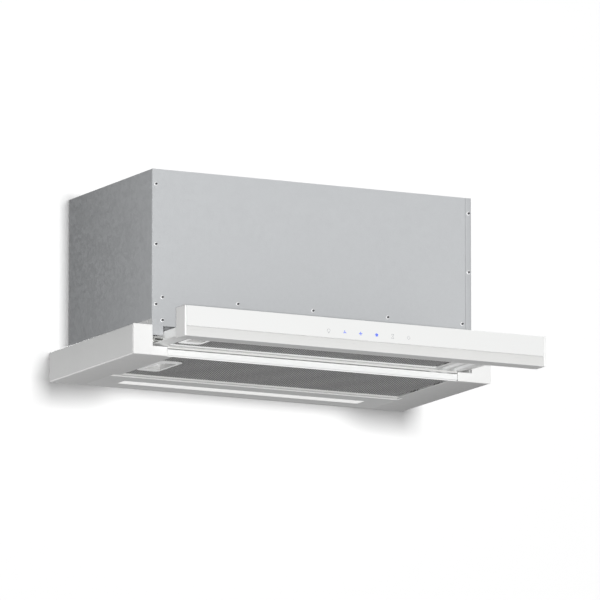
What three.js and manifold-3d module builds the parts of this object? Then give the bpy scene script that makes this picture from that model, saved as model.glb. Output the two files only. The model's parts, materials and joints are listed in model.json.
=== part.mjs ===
// Pull-out range hood for a 600 mm wall cabinet, drawn with its drawer out.
// Millimetres, +Z up, +X to the right as seen from the front, the front faces -Y.
// "Depth" (d) in the comments is the distance behind the front face of the base.
import * as THREE from 'three';
import { mergeVertices } from 'three/addons/utils/BufferGeometryUtils.js';
import Module from 'manifold-3d';

const wasm = await Module();
wasm.setup();

// ---------------------------------------------------------------- driving dimensions
// Clearances
const seat = 0.3; // between pieces that rest on each other
const runGap = 1.5; // round a grease filter in its opening
const lipGap = 0.8; // between the drawer and what it passes over

// Base: a folded steel tray that closes the cabinet from below
const baseWidth = 598;
const baseDepth = 287;
const baseHeight = 45.5;
const baseSheet = 1.2;
const baseBend = 1.8; // bend radius at the middle of the sheet
const ledgeWidth = 31; // top flange between the base's side and the housing
const capThickness = 3;
const capWidth = 31.5;
const capLipWidth = 56.2;
const capLipHeight = 13.8;
const capPlugDepth = 19;
const barBottom = 1.3;
const barTop = 10.7;
const barSheet = 1;
const barShelf = 14; // how far the bar's top folds back over the tray's lip

// Fixed grease filter's opening in the base, and the light behind it
const openingSide = 66.5; // underside beside the opening
const openingFront = 4.5;
const openingRear = 110; // underside behind the opening
const supportDepth = 17; // strip between the filter and the light panel
const supportLap = 4.5; // how far that strip laps onto the tray at each end
const lightStep = 10; // the light panel is wider than the opening by this at each end
const lightBackRim = 11; // underside behind the light panel
const lightRim = 6;
const ledEnd = 40; // light panel beyond each end of the lens
const ledWidth = 24;
const ledInset = 50; // from the opening to the lens
const ledFlange = 3.5;
const ledPlate = 1.2;
const channelHeight = 8;
const channelMargin = 6;
const boardThickness = 1.6;

// Housing: the box inside the cabinet
const housingSetback = 1.6; // housing front behind the base front
const housingBackGap = 2; // base's back behind the housing
const housingBottom = 56;
const housingTop = 281;
const housingSheet = 1;
const housingFlange = 12;
const coverReveal = 10.2; // strip of the right side that shows beside the cover
const legBottom = 30.5;
const legWidth = 18.4;
const coverBottom = 44.6;
const crossbarBottom = 78;
const crossbarHeight = 19;
const crossbarDepth = 17;

// Side carriers: galvanised angles that hold the housing and the drawer rails
const carrierSheet = 1.2;
const carrierTop = 75;
const carrierFootGap = 1; // from the strip behind the filter to the carrier's foot
const carrierTabWidth = 20;
const carrierTabBottom = 46;
const carrierHoleRadius = 1.8;
const carrierHoleInset = 16;
const carrierHoleHeight = 53.3;

// Drawer
const drawerTravel = 142.8;
const closedGap = 1; // between the shut panel and the base
const trayBottom = 14.6;
const traySideGap = 16.7; // from the rail's back to the tray's side wall
const trayWallTop = 36.7;
const trayFlangeGap = 2.7; // from the rail's back to the edge of the flange under the rail
const trayFlangeRise = 3;
const trayTail = 25; // tray behind the base's front when the drawer is out
const trayTailWall = 24;
const trayRimLeft = 2; // tray floor round the filter's opening
const trayRimRight = 49;
const trayRimFront = 4.8;
const trayOpeningLength = 127;
const ribRise = 3.6;
const ribSlope = 1.6; // width of each slope of a rib
const ribInsets = [40, 29.5, 22, 11]; // edges of the two ribs, from the tray's right wall
const armInset = 1.4; // from the rail's edges to the arm that the tray reaches back with

// Panel that is pulled
const panelOverlap = 1; // beyond the base at each end
const panelHeight = 45.3;
const panelDepth = 28.9;
const panelSheet = 1.2;
const panelBend = 1.1;
const endCapCorner = 0.8;
const glassThickness = 4;
const glassBottom = 15.5;
const endCapThickness = 3;
const touchBoardWidth = 170;
const touchBoardHeight = 22;
const touchBoardMiddle = 30.5;

// Telescopic rails, sizes across one rail
const railBottom = 19.6;
const railHeight = 10;
const railSheet = 1;
const railReach = 9.7; // outer member from its back to its lips
const railLipStep = 3; // how much further each inner member reaches towards the drawer
const railFront = 6;
const railRear = 5; // from the base's back to the outer member
const movingFront = 2; // front of the moving members when the drawer is out
const middleOverhang = 12; // middle member beyond the inner one when the drawer is out
const innerRear = 6.2; // from the base's back to the inner member when the drawer is shut

// Grease filters
const meshThickness = 0.9;
const filterRecess = 1.7; // mesh face above the face of the sheet it sits in
const fixedFilterLift = 0.5;
const frameBand = 6;
const frameHeight = 5.6;
const frameSheet = 0.9; // the frame is a folded channel, open to the inside
const tabWidth = 22;
const tabThickness = 1.2;
const tabReach = 7.5;
const tabFoot = 3.5;
const tabShare = 0.28; // place of each tab along the end of the filter
const handleWidth = 38;
const handleLength = 88;
const handlePlate = 1.2;
const handleCorner = 8;
const handleInset = 2;
const pocketWidth = 26;
const pocketLength = 56;
const pocketWall = 1.2;
const pocketInset = 7;
const latchWidth = 16;
const latchThickness = 2.2;
const latchTab = 3;

// Blower
const blowerAhead = 57.5; // fan axis ahead of the outlet's middle
const blowerHeight = 150;
const scrollHalf = 66; // from the joint of the two halves to the outside of one
const scrollWall = 2;
const scrollStart = 78;
const scrollEnd = 105;
const tongueAngle = 65;
const ductReach = 47.5; // duct ahead of the outlet's middle
const inletRadius = 58;
const inletLip = 3;
const inletLipWidth = 6;
const scrollFlange = 2;
const scrollFlangeMargin = 7;
const earRadius = 5; // screw ears round the joint of the halves
const earLength = 7;
const earAngles = [110, 165, 220, 300, 345]; // degrees round the volute
const fanRadius = 70;
const fanInner = 57;
const fanHalf = 59;
const bladeCount = 36;
const bladeThickness = 1.3;
const bladeSweep = 17; // degrees from the blade's inner to its outer edge
const fanDisc = 3;
const fanRim = 3;
const fanRimBand = 5;
const hubRadius = 13;
const hubLength = 16;
const shaftRadius = 4;
const shaftGap = 0.2;
const shaftReach = 34;
const motorRadius = 44;
const motorStart = 6;
const motorShoulder = 12; // length of the can's rounded front end
const motorNeck = 14; // length of the narrower rear end
const bracketPlate = 2;
const bracketBand = 7;
const armWidth = 12;
const armCount = 3;

// Outlet
const topFlange = 12; // folded down at the edges of the housing's top
const outletInset = 87.5; // outlet's middle from the housing's back
const outletBore = 68;
const collarWall = 2;
const collarOuter = 74.5;
const collarFlange = 83;
const collarHeight = 16;
const collarBead = 0.8; // round bead that holds the duct
const flapThickness = 1.2;
const flapGap = 0.7;
const flapWeb = 4; // the web's hold on the flap
const flapRib = 1.6;
const ribReach = 60;
const pinRadius = 1.5;
const barrelRadius = 3;
const barrelInner = 8;
const barrelOuter = 52;
const pinHeight = 2.2; // pin above the collar's flange

// Electrics
const boxWidth = 60;
const boxDepth = 140;
const boxHeight = 82;
const boxWall = 2;
const boxFront = 62;
const boxBelowTop = 19; // from the housing's top edge to the box
const lidLip = 6;
const capacitorRadius = 15;
const capacitorLength = 52;
const glandInset = 42.5; // from the housing's right side
const glandRear = 35; // from the housing's back
const glandRadius = 9;
const glandBore = 4;
const glandNeck = 6;
const glandHeight = 12;

// ---------------------------------------------------------------- derived places
const overallDepth = panelDepth + closedGap + drawerTravel + baseDepth;
const baseFront = overallDepth / 2 - baseDepth;
const at = (depth) => baseFront + depth;
const panelFront = -(panelDepth + closedGap + drawerTravel);
const panelBack = panelFront + panelDepth;
const baseHalf = baseWidth / 2;
const openingHalf = baseHalf - openingSide;
const openingBack = baseDepth - openingRear;
const lightHalfWidth = openingHalf + lightStep;
const lightBack = baseDepth - lightBackRim;
const ledHalf = lightHalfWidth - ledEnd;
const ledFront = openingBack + ledInset;
const housingHalf = baseHalf - capWidth;
const housingBack = baseDepth - housingBackGap;
const housingInside = housingHalf - housingSheet;
const outletDepth = housingBack - outletInset;
const blowerDepth = outletDepth - blowerAhead;
const ductFront = outletDepth - ductReach;
const glandDepth = housingBack - glandRear;
const carrierOuter = housingInside - seat;
const carrierInner = carrierOuter - carrierSheet;
const railBack = carrierInner - seat;
const trayWall = railBack - traySideGap; // outer face of the tray's side wall
const trayFlange = railBack - trayFlangeGap;
const innerBack = baseDepth - innerRear - drawerTravel; // with the drawer out
const topSkin = housingTop - housingSheet - seat; // upper face of the top plate
const topUnder = topSkin - housingSheet;
const collarSeat = topSkin + seat;
const supportFront = openingBack + seat;
const supportReach = lightHalfWidth + supportLap;
const lightFront = openingBack + supportDepth + seat;

// ---------------------------------------------------------------- solids and sections
function toSolid(geometry) {
  const bare = geometry.clone();
  bare.deleteAttribute('normal');
  bare.deleteAttribute('uv');
  const merged = mergeVertices(bare, 1e-4);
  const mesh = new wasm.Mesh({
    numProp: 3,
    vertProperties: new Float32Array(merged.attributes.position.array),
    triVerts: new Uint32Array(merged.index.array),
  });
  return new wasm.Manifold(mesh);
}

function toGeometry(solid) {
  const mesh = solid.getMesh();
  const geometry = new THREE.BufferGeometry();
  geometry.setAttribute('position', new THREE.BufferAttribute(mesh.vertProperties, 3));
  geometry.setIndex(new THREE.BufferAttribute(mesh.triVerts, 1));
  geometry.computeVertexNormals();
  return geometry;
}

function join(...geometries) {
  return toGeometry(geometries.map(toSolid).reduce((sum, next) => sum.add(next)));
}

function cut(geometry, ...tools) {
  return toGeometry(tools.map(toSolid).reduce((rest, tool) => rest.subtract(tool), toSolid(geometry)));
}

// A plain block between two corners; depths are behind the base's front.
function block([x0, x1], [d0, d1], [z0, z1]) {
  const geometry = new THREE.BoxGeometry(Math.abs(x1 - x0), d1 - d0, z1 - z0);
  return geometry.translate((x0 + x1) / 2, at((d0 + d1) / 2), (z0 + z1) / 2);
}

// Outlines extruded along one axis. Each takes a list of points or a Shape.
const asShape = (outline) => (Array.isArray(outline) ? new THREE.Shape(outline) : outline);

function alongX(outline, x0, x1, curveSegments = 12) {
  const options = { depth: x1 - x0, bevelEnabled: false, curveSegments };
  const geometry = new THREE.ExtrudeGeometry(asShape(outline), options);
  const turn = new THREE.Matrix4().makeBasis(
    new THREE.Vector3(0, 1, 0),
    new THREE.Vector3(0, 0, 1),
    new THREE.Vector3(1, 0, 0),
  );
  return geometry.applyMatrix4(turn).translate(x0, at(0), 0);
}

function alongY(outline, d0, d1, curveSegments = 12) {
  const options = { depth: d1 - d0, bevelEnabled: false, curveSegments };
  const geometry = new THREE.ExtrudeGeometry(asShape(outline), options);
  return geometry.rotateX(Math.PI / 2).translate(0, at(d1), 0);
}

function alongZ(outline, z0, z1, curveSegments = 12) {
  const options = { depth: z1 - z0, bevelEnabled: false, curveSegments };
  const geometry = new THREE.ExtrudeGeometry(asShape(outline), options);
  return geometry.translate(0, at(0), z0);
}

// The section of a bent sheet: a line along the middle of the sheet, given as
// corner points, is rounded at each bend and thickened to both sides.
function sheetSection(points, thickness, bendRadius, steps = 3) {
  const line = points.map(([a, b]) => new THREE.Vector2(a, b));
  const left = [];
  const right = [];
  const half = thickness / 2;
  const side = (direction) => new THREE.Vector2(-direction.y, direction.x);
  const put = (point, normal) => {
    left.push(point.clone().addScaledVector(normal, half));
    right.push(point.clone().addScaledVector(normal, -half));
  };
  line.forEach((corner, i) => {
    const into = i > 0 ? corner.clone().sub(line[i - 1]).normalize() : null;
    const out = i < line.length - 1 ? line[i + 1].clone().sub(corner).normalize() : null;
    if (!into || !out) {
      put(corner, side(into ?? out));
      return;
    }
    const turn = Math.atan2(into.cross(out), into.dot(out));
    const reach = bendRadius * Math.tan(Math.abs(turn) / 2);
    const start = corner.clone().addScaledVector(into, -reach);
    const centre = start.clone().addScaledVector(side(into), Math.sign(turn) * bendRadius);
    for (let step = 0; step <= steps; step += 1) {
      const angle = (turn * step) / steps;
      const point = start.clone().rotateAround(centre, angle);
      put(point, side(into).rotateAround(new THREE.Vector2(), angle));
    }
  });
  return [...left, ...right.reverse()];
}

function roundedRectangle(x0, x1, y0, y1, radius) {
  const shape = new THREE.Shape();
  shape.absarc(x1 - radius, y1 - radius, radius, 0, Math.PI / 2);
  shape.absarc(x0 + radius, y1 - radius, radius, Math.PI / 2, Math.PI);
  shape.absarc(x0 + radius, y0 + radius, radius, Math.PI, 1.5 * Math.PI);
  shape.absarc(x1 - radius, y0 + radius, radius, 1.5 * Math.PI, 2 * Math.PI);
  return shape;
}

function disc(radius, hole = 0, centre = [0, 0]) {
  const shape = new THREE.Shape().absarc(centre[0], centre[1], radius, 0, 2 * Math.PI);
  if (hole > 0) {
    shape.holes.push(new THREE.Path().absarc(centre[0], centre[1], hole, 0, 2 * Math.PI, true));
  }
  return shape;
}

// Left and right pieces are drawn for x > 0 and mirrored through their sign.
const mirrored = (side, points) => points.map(([x, z]) => [side * x, z]);
const span = (side, a, b) => (side > 0 ? [a, b] : [-b, -a]);

// ---------------------------------------------------------------- materials
const material = (color, roughness, metalness) =>
  new THREE.MeshStandardMaterial({ color, roughness, metalness, side: THREE.FrontSide });
const finishes = {
  white: () => material(0xf2f2ef, 0.42, 0.0),
  whitePlastic: () => material(0xf4f4f1, 0.5, 0.0),
  galvanised: () => material(0xc3c7cb, 0.45, 0.85),
  glass: () => material(0xfafafa, 0.08, 0.0),
  diffuser: () => material(0xf6f4ee, 0.6, 0.0),
  aluminium: () => material(0x9b9b99, 0.5, 0.8),
  latch: () => material(0xd0d0cd, 0.35, 0.6),
  blackPlastic: () => material(0x222326, 0.6, 0.0),
  greyPlastic: () => material(0x8d9195, 0.6, 0.0),
  board: () => material(0x1f5f3c, 0.6, 0.1),
  steel: () => material(0xb8bcc0, 0.3, 0.9),
};

const hood = new THREE.Group();
function add(name, finish, geometry) {
  const mesh = new THREE.Mesh(geometry, finishes[finish]());
  mesh.name = name;
  hood.add(mesh);
}

// ---------------------------------------------------------------- base
const sideMiddle = baseHalf - baseSheet / 2;
const ledgeMiddle = baseHeight - baseSheet / 2;
const panFront = capThickness + seat;

function basePan() {
  const half = [
    [sideMiddle, baseSheet / 2],
    [sideMiddle, ledgeMiddle],
    [baseHalf - ledgeWidth, ledgeMiddle],
  ];
  const section = sheetSection([...mirrored(-1, half).reverse(), ...half], baseSheet, baseBend);
  const tray = alongY(section, panFront, baseDepth);
  const barHalf = baseHalf - capLipWidth;
  const lip = block([-barHalf, barHalf], [panFront, openingFront], [0, barTop - barSheet - seat]);
  const backWall = block(
    [-sideMiddle, sideMiddle],
    [baseDepth - baseSheet, baseDepth],
    [baseSheet / 2, ledgeMiddle],
  );
  const filterHole = block(
    [-openingHalf, openingHalf],
    [openingFront, openingBack + seat],
    [-1, 2 * baseSheet],
  );
  const lightHole = block([-lightHalfWidth, lightHalfWidth], [openingBack, lightBack], [-1, 2 * baseSheet]);
  return cut(join(tray, lip, backWall), filterHole, lightHole);
}

function cornerCap(side) {
  const outline = mirrored(side, [
    [baseHalf - capLipWidth, 0],
    [baseHalf, 0],
    [baseHalf, baseHeight],
    [baseHalf - capWidth, baseHeight],
    [baseHalf - capWidth, capLipHeight],
    [baseHalf - capLipWidth, capLipHeight],
  ]).map(([x, z]) => new THREE.Vector2(x, z));
  const face = alongY(outline, 0, capThickness);
  const plug = roundedRectangle(
    ...span(side, baseHalf - ledgeWidth + 2, baseHalf - baseSheet - seat),
    baseSheet + seat,
    baseHeight - baseSheet - seat,
    baseBend,
  );
  return join(face, alongY(plug, capThickness / 2, capThickness + capPlugDepth, 3));
}

function frontBar() {
  const middle = barSheet / 2;
  const section = sheetSection(
    [
      [barShelf, barTop - middle],
      [middle, barTop - middle],
      [middle, barBottom + middle],
      [panFront - seat, barBottom + middle],
    ],
    barSheet,
    baseBend / 2,
  );
  const half = baseHalf - capLipWidth - seat;
  return alongX(section, -half, half);
}

add('base_pan', 'white', basePan());
add('front_bar', 'white', frontBar());
for (const [label, side] of [['left', -1], ['right', 1]]) {
  add(`corner_cap_${label}`, 'whitePlastic', cornerCap(side));
}

// ---------------------------------------------------------------- light
const lightHalf = lightHalfWidth - seat;
const lightFloor = baseSheet;
const ledRange = [ledFront, ledFront + ledWidth];

function filterSupport() {
  const top = [baseSheet + seat, 2 * baseSheet + seat];
  const depths = [supportFront, lightFront - seat];
  const strip = block([-supportReach, supportReach], depths, top);
  const lip = block([-lightHalf, lightHalf], [supportFront, supportFront + baseSheet], [0, top[1]]);
  return join(strip, lip);
}

function lightPanel() {
  const depths = [lightFront, lightBack - seat];
  const tray = block([-lightHalf, lightHalf], depths, [0, lightRim]);
  const inside = block(
    [-lightHalf + baseSheet, lightHalf - baseSheet],
    [depths[0] + baseSheet, depths[1] - baseSheet],
    [lightFloor, lightRim + 1],
  );
  const slot = block([-ledHalf, ledHalf], ledRange, [-1, lightRim]);
  return cut(tray, inside, slot);
}

function lightDiffuser() {
  const half = ledHalf - seat;
  const window = block([-half, half], [ledRange[0] + seat, ledRange[1] - seat], [0, lightFloor + 2 * seat]);
  const flange = block(
    [-half - ledFlange, half + ledFlange],
    [ledRange[0] - ledFlange, ledRange[1] + ledFlange],
    [lightFloor + seat, lightFloor + seat + ledPlate],
  );
  return join(window, flange);
}

const channelDepths = [ledRange[0] - channelMargin, ledRange[1] + channelMargin];
const channelTop = lightFloor + seat + channelHeight;

function lightChannel() {
  const middle = baseSheet / 2;
  const section = sheetSection(
    [
      [channelDepths[0] + middle, lightFloor + seat],
      [channelDepths[0] + middle, channelTop - middle],
      [channelDepths[1] - middle, channelTop - middle],
      [channelDepths[1] - middle, lightFloor + seat],
    ],
    baseSheet,
    baseBend / 2,
  );
  return alongX(section, -ledHalf, ledHalf);
}

add('filter_support', 'white', filterSupport());
add('light_panel', 'white', lightPanel());
add('light_diffuser', 'diffuser', lightDiffuser());
add('light_channel', 'galvanised', lightChannel());
const ledBoardTop = channelTop - baseSheet - seat;
add(
  'light_board',
  'board',
  block(
    [-ledHalf + ledFlange, ledHalf - ledFlange],
    [ledRange[0] + ledFlange, ledRange[1] - ledFlange],
    [ledBoardTop - boardThickness, ledBoardTop],
  ),
);

// ---------------------------------------------------------------- housing
const coverBack = housingSetback + housingSheet;
const coverRight = housingHalf - coverReveal;
const sideMid = housingHalf - housingSheet / 2;
const rearMid = housingBack - housingSheet / 2;

// The left side tucks its front flange behind the cover, the right side sets its
// flange beside the cover and runs down as a leg.
function housingSide(side) {
  const frontMid = side < 0 ? coverBack + seat + housingSheet / 2 : housingSetback + housingSheet / 2;
  const flangeEdge = side < 0 ? housingHalf - housingFlange : coverRight + seat;
  const section = sheetSection(
    mirrored(side, [
      [flangeEdge, frontMid],
      [sideMid, frontMid],
      [sideMid, rearMid],
      [housingHalf - housingFlange, rearMid],
    ]),
    housingSheet,
    housingSheet,
  );
  const wall = alongZ(section, housingBottom, housingTop);
  if (side < 0) {
    return wall;
  }
  const leg = block([flangeEdge, housingHalf], [housingSetback, coverBack], [legBottom, housingBottom + 1]);
  return join(wall, leg);
}

function housingCover() {
  const outline = [
    [-housingHalf, housingTop],
    [-housingHalf, legBottom],
    [-housingHalf + legWidth, legBottom],
    [-housingHalf + legWidth, coverBottom],
    [housingHalf - legWidth, coverBottom],
    [housingHalf - legWidth, legBottom],
    [coverRight, legBottom],
    [coverRight, housingTop],
  ].map(([x, z]) => new THREE.Vector2(x, z));
  const skin = alongY(outline, housingSetback, coverBack);
  const half = housingHalf - housingFlange - 1;
  const fold = block(
    [-half, half],
    [housingSetback, housingSetback + housingFlange],
    [housingTop - housingSheet, housingTop],
  );
  return join(skin, fold);
}

const housingPlateBack = housingBack - housingSheet - seat;
const topDepths = [coverBack + 2 * seat + housingSheet, housingPlateBack - housingSheet - seat];

const glandX = housingHalf - glandInset;

// The top is a shallow pan: its left and right edges are folded down inside the sides.
function housingTopPlate() {
  const edge = carrierOuter - housingSheet / 2;
  const line = [
    [-edge, topSkin - topFlange],
    [-edge, topSkin - housingSheet / 2],
    [edge, topSkin - housingSheet / 2],
    [edge, topSkin - topFlange],
  ];
  const plate = alongY(sheetSection(line, housingSheet, housingSheet, 2), ...topDepths);
  const outlet = alongZ(disc(outletBore, 0, [0, outletDepth]), topUnder - 1, topSkin + 1, 20);
  const gland = alongZ(disc(glandNeck + seat, 0, [glandX, glandDepth]), topUnder - 1, topSkin + 1, 8);
  return cut(plate, outlet, gland);
}

function crossbar() {
  const front = coverBack + seat;
  const middle = carrierSheet / 2;
  const section = sheetSection(
    [
      [front + middle, crossbarBottom + crossbarHeight],
      [front + middle, crossbarBottom + middle],
      [front + crossbarDepth, crossbarBottom + middle],
    ],
    carrierSheet,
    carrierSheet,
  );
  const half = housingHalf - housingFlange - 1;
  return alongX(section, -half, half);
}

add('housing_left', 'galvanised', housingSide(-1));
add('housing_right', 'galvanised', housingSide(1));
add('housing_cover', 'galvanised', housingCover());
add(
  'housing_back',
  'galvanised',
  block(
    [-carrierOuter, carrierOuter],
    [housingPlateBack - housingSheet, housingPlateBack],
    [coverBottom, housingTop],
  ),
);
add('housing_top', 'galvanised', housingTopPlate());
add('front_crossbar', 'galvanised', crossbar());

// ---------------------------------------------------------------- carriers and rails
const carrierDepths = [coverBack + 2 * seat + housingSheet, housingPlateBack - housingSheet - seat];

function railCarrier(side) {
  const wallMiddle = (carrierOuter + carrierInner) / 2;
  const footMiddle = baseSheet + seat + carrierSheet / 2;
  const section = sheetSection(
    mirrored(side, [
      [wallMiddle, carrierTop],
      [wallMiddle, footMiddle],
      [supportReach + carrierFootGap, footMiddle],
    ]),
    carrierSheet,
    carrierSheet,
  );
  const angle = alongY(section, ...carrierDepths);
  const tab = block(
    span(side, carrierOuter - carrierTabWidth, carrierOuter),
    [coverBack + seat, carrierDepths[0] + seat],
    [carrierTabBottom, housingBottom - seat],
  );
  const holes = [carrierDepths[0] + carrierHoleInset, carrierDepths[1] - carrierHoleInset].map((depth) =>
    alongX(
      disc(carrierHoleRadius, 0, [depth, carrierHoleHeight]),
      ...span(side, carrierInner - 1, carrierOuter + 1),
      2,
    ),
  );
  return cut(join(angle, tab), ...holes);
}

// Each member is a channel that runs inside the one before it.
function railChannel(side, member) {
  const inset = member * (railSheet + seat) + railSheet / 2;
  const back = railBack - inset;
  const lips = railBack - railReach - member * railLipStep;
  const low = railBottom + inset;
  const high = railBottom + railHeight - inset;
  return mirrored(side, [
    [lips, high],
    [back, high],
    [back, low],
    [lips, low],
  ]);
}

function innerRail(side) {
  const inset = 2 * (railSheet + seat) + railSheet / 2;
  const web = trayWall + seat + railSheet / 2;
  const lips = railBack - 2 * (railSheet + seat);
  const low = railBottom + inset;
  const high = railBottom + railHeight - inset;
  return mirrored(side, [
    [lips, high],
    [web, high],
    [web, low],
    [lips, low],
  ]);
}

function rail(line, front, back) {
  return alongY(sheetSection(line, railSheet, railSheet * 0.8, 2), front, back);
}

for (const [label, side] of [['left', -1], ['right', 1]]) {
  add(`rail_carrier_${label}`, 'galvanised', railCarrier(side));
  add(`rail_outer_${label}`, 'steel', rail(railChannel(side, 0), railFront, baseDepth - railRear));
  const middleBack = innerBack + middleOverhang;
  add(`rail_middle_${label}`, 'steel', rail(railChannel(side, 1), movingFront, middleBack));
  add(`rail_inner_${label}`, 'steel', rail(innerRail(side), movingFront, innerBack));
}

// ---------------------------------------------------------------- drawer
const trayFront = panelBack + seat;
const trayMiddle = trayBottom + baseSheet / 2;
const trayOpening = {
  left: -trayWall + trayRimLeft,
  right: trayWall - trayRimRight,
  front: panelBack + trayRimFront,
  back: panelBack + trayRimFront + trayOpeningLength,
};

// The tray hangs from its rails by an arm at each side, behind the base's front.
function drawerTray() {
  const wallMiddle = trayWall - baseSheet / 2;
  const floor = [[-wallMiddle, trayMiddle]];
  ribInsets.forEach((inset, i) => {
    const x = trayWall - inset;
    const up = i % 2 === 0 ? 0 : ribRise;
    floor.push([x - ribSlope / 2, trayMiddle + up], [x + ribSlope / 2, trayMiddle + ribRise - up]);
  });
  floor.push([wallMiddle, trayMiddle]);
  const section = sheetSection(
    [[-wallMiddle, trayWallTop], ...floor, [wallMiddle, trayWallTop]],
    baseSheet,
    baseSheet * 0.55,
    2,
  );
  const tray = alongY(section, trayFront, trayTail);
  const flanges = [-1, 1].map((side) =>
    alongY(
      mirrored(side, [
        [wallMiddle - baseSheet / 2, trayBottom],
        [wallMiddle, trayBottom],
        [trayFlange, trayBottom + trayFlangeRise],
        [trayFlange, trayBottom + trayFlangeRise + baseSheet],
        [wallMiddle, trayBottom + baseSheet],
      ]).map(([x, z]) => new THREE.Vector2(x, z)),
      trayFront,
      trayTail,
    ),
  );
  const arms = [-1, 1].map((side) =>
    block(
      span(side, trayWall - baseSheet, trayWall),
      [trayTail - baseSheet, innerBack],
      [railBottom + armInset, railBottom + railHeight - armInset],
    ),
  );
  const frontWall = block(
    [-wallMiddle, wallMiddle],
    [trayFront, trayFront + baseSheet],
    [trayBottom + baseSheet / 2, trayWallTop],
  );
  const backWall = block(
    [-wallMiddle, wallMiddle],
    [trayTail - baseSheet, trayTail],
    [trayBottom + baseSheet / 2, trayTailWall],
  );
  const hole = block(
    [trayOpening.left, trayOpening.right],
    [trayOpening.front, trayOpening.back],
    [trayBottom - 1, trayBottom + 2 * baseSheet],
  );
  return cut(join(tray, ...flanges, ...arms, frontWall, backWall), hole);
}

const glassBack = panelFront + glassThickness;
const panelHalf = baseHalf + panelOverlap;
const profileHalf = panelHalf - endCapThickness - seat;

function panelBody() {
  const middle = panelSheet / 2;
  const rear = panelBack - panelSheet - seat;
  const wall = glassBack + seat + middle;
  const ledge = glassBottom - seat - middle;
  const section = sheetSection(
    [
      [rear, panelHeight - middle],
      [wall, panelHeight - middle],
      [wall, ledge],
      [panelFront + middle, ledge],
      [panelFront + middle, middle],
      [rear, middle],
    ],
    panelSheet,
    panelBend,
  );
  const body = alongX(section, -profileHalf, profileHalf);
  const window = block(
    [-touchBoardWidth / 2 - seat, touchBoardWidth / 2 + seat],
    [glassBack, glassBack + 3 * panelSheet],
    [touchBoardMiddle - touchBoardHeight / 2 - seat, touchBoardMiddle + touchBoardHeight / 2 + seat],
  );
  return cut(body, window);
}

function endCap(side) {
  const outline = roundedRectangle(panelFront, panelBack, 0, panelHeight, endCapCorner);
  return alongX(outline, ...span(side, panelHalf - endCapThickness, panelHalf), 2);
}

add('drawer_tray', 'white', drawerTray());
add('panel_body', 'white', panelBody());
add(
  'panel_glass',
  'glass',
  block([-profileHalf, profileHalf], [panelFront, glassBack], [glassBottom, panelHeight]),
);
add(
  'panel_back_cover',
  'white',
  block([-profileHalf, profileHalf], [panelBack - panelSheet, panelBack], [0, panelHeight]),
);
add('panel_end_left', 'whitePlastic', endCap(-1));
add('panel_end_right', 'whitePlastic', endCap(1));
add(
  'touch_board',
  'board',
  block(
    [-touchBoardWidth / 2, touchBoardWidth / 2],
    [glassBack + seat, glassBack + seat + boardThickness],
    [touchBoardMiddle - touchBoardHeight / 2, touchBoardMiddle + touchBoardHeight / 2],
  ),
);

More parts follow.
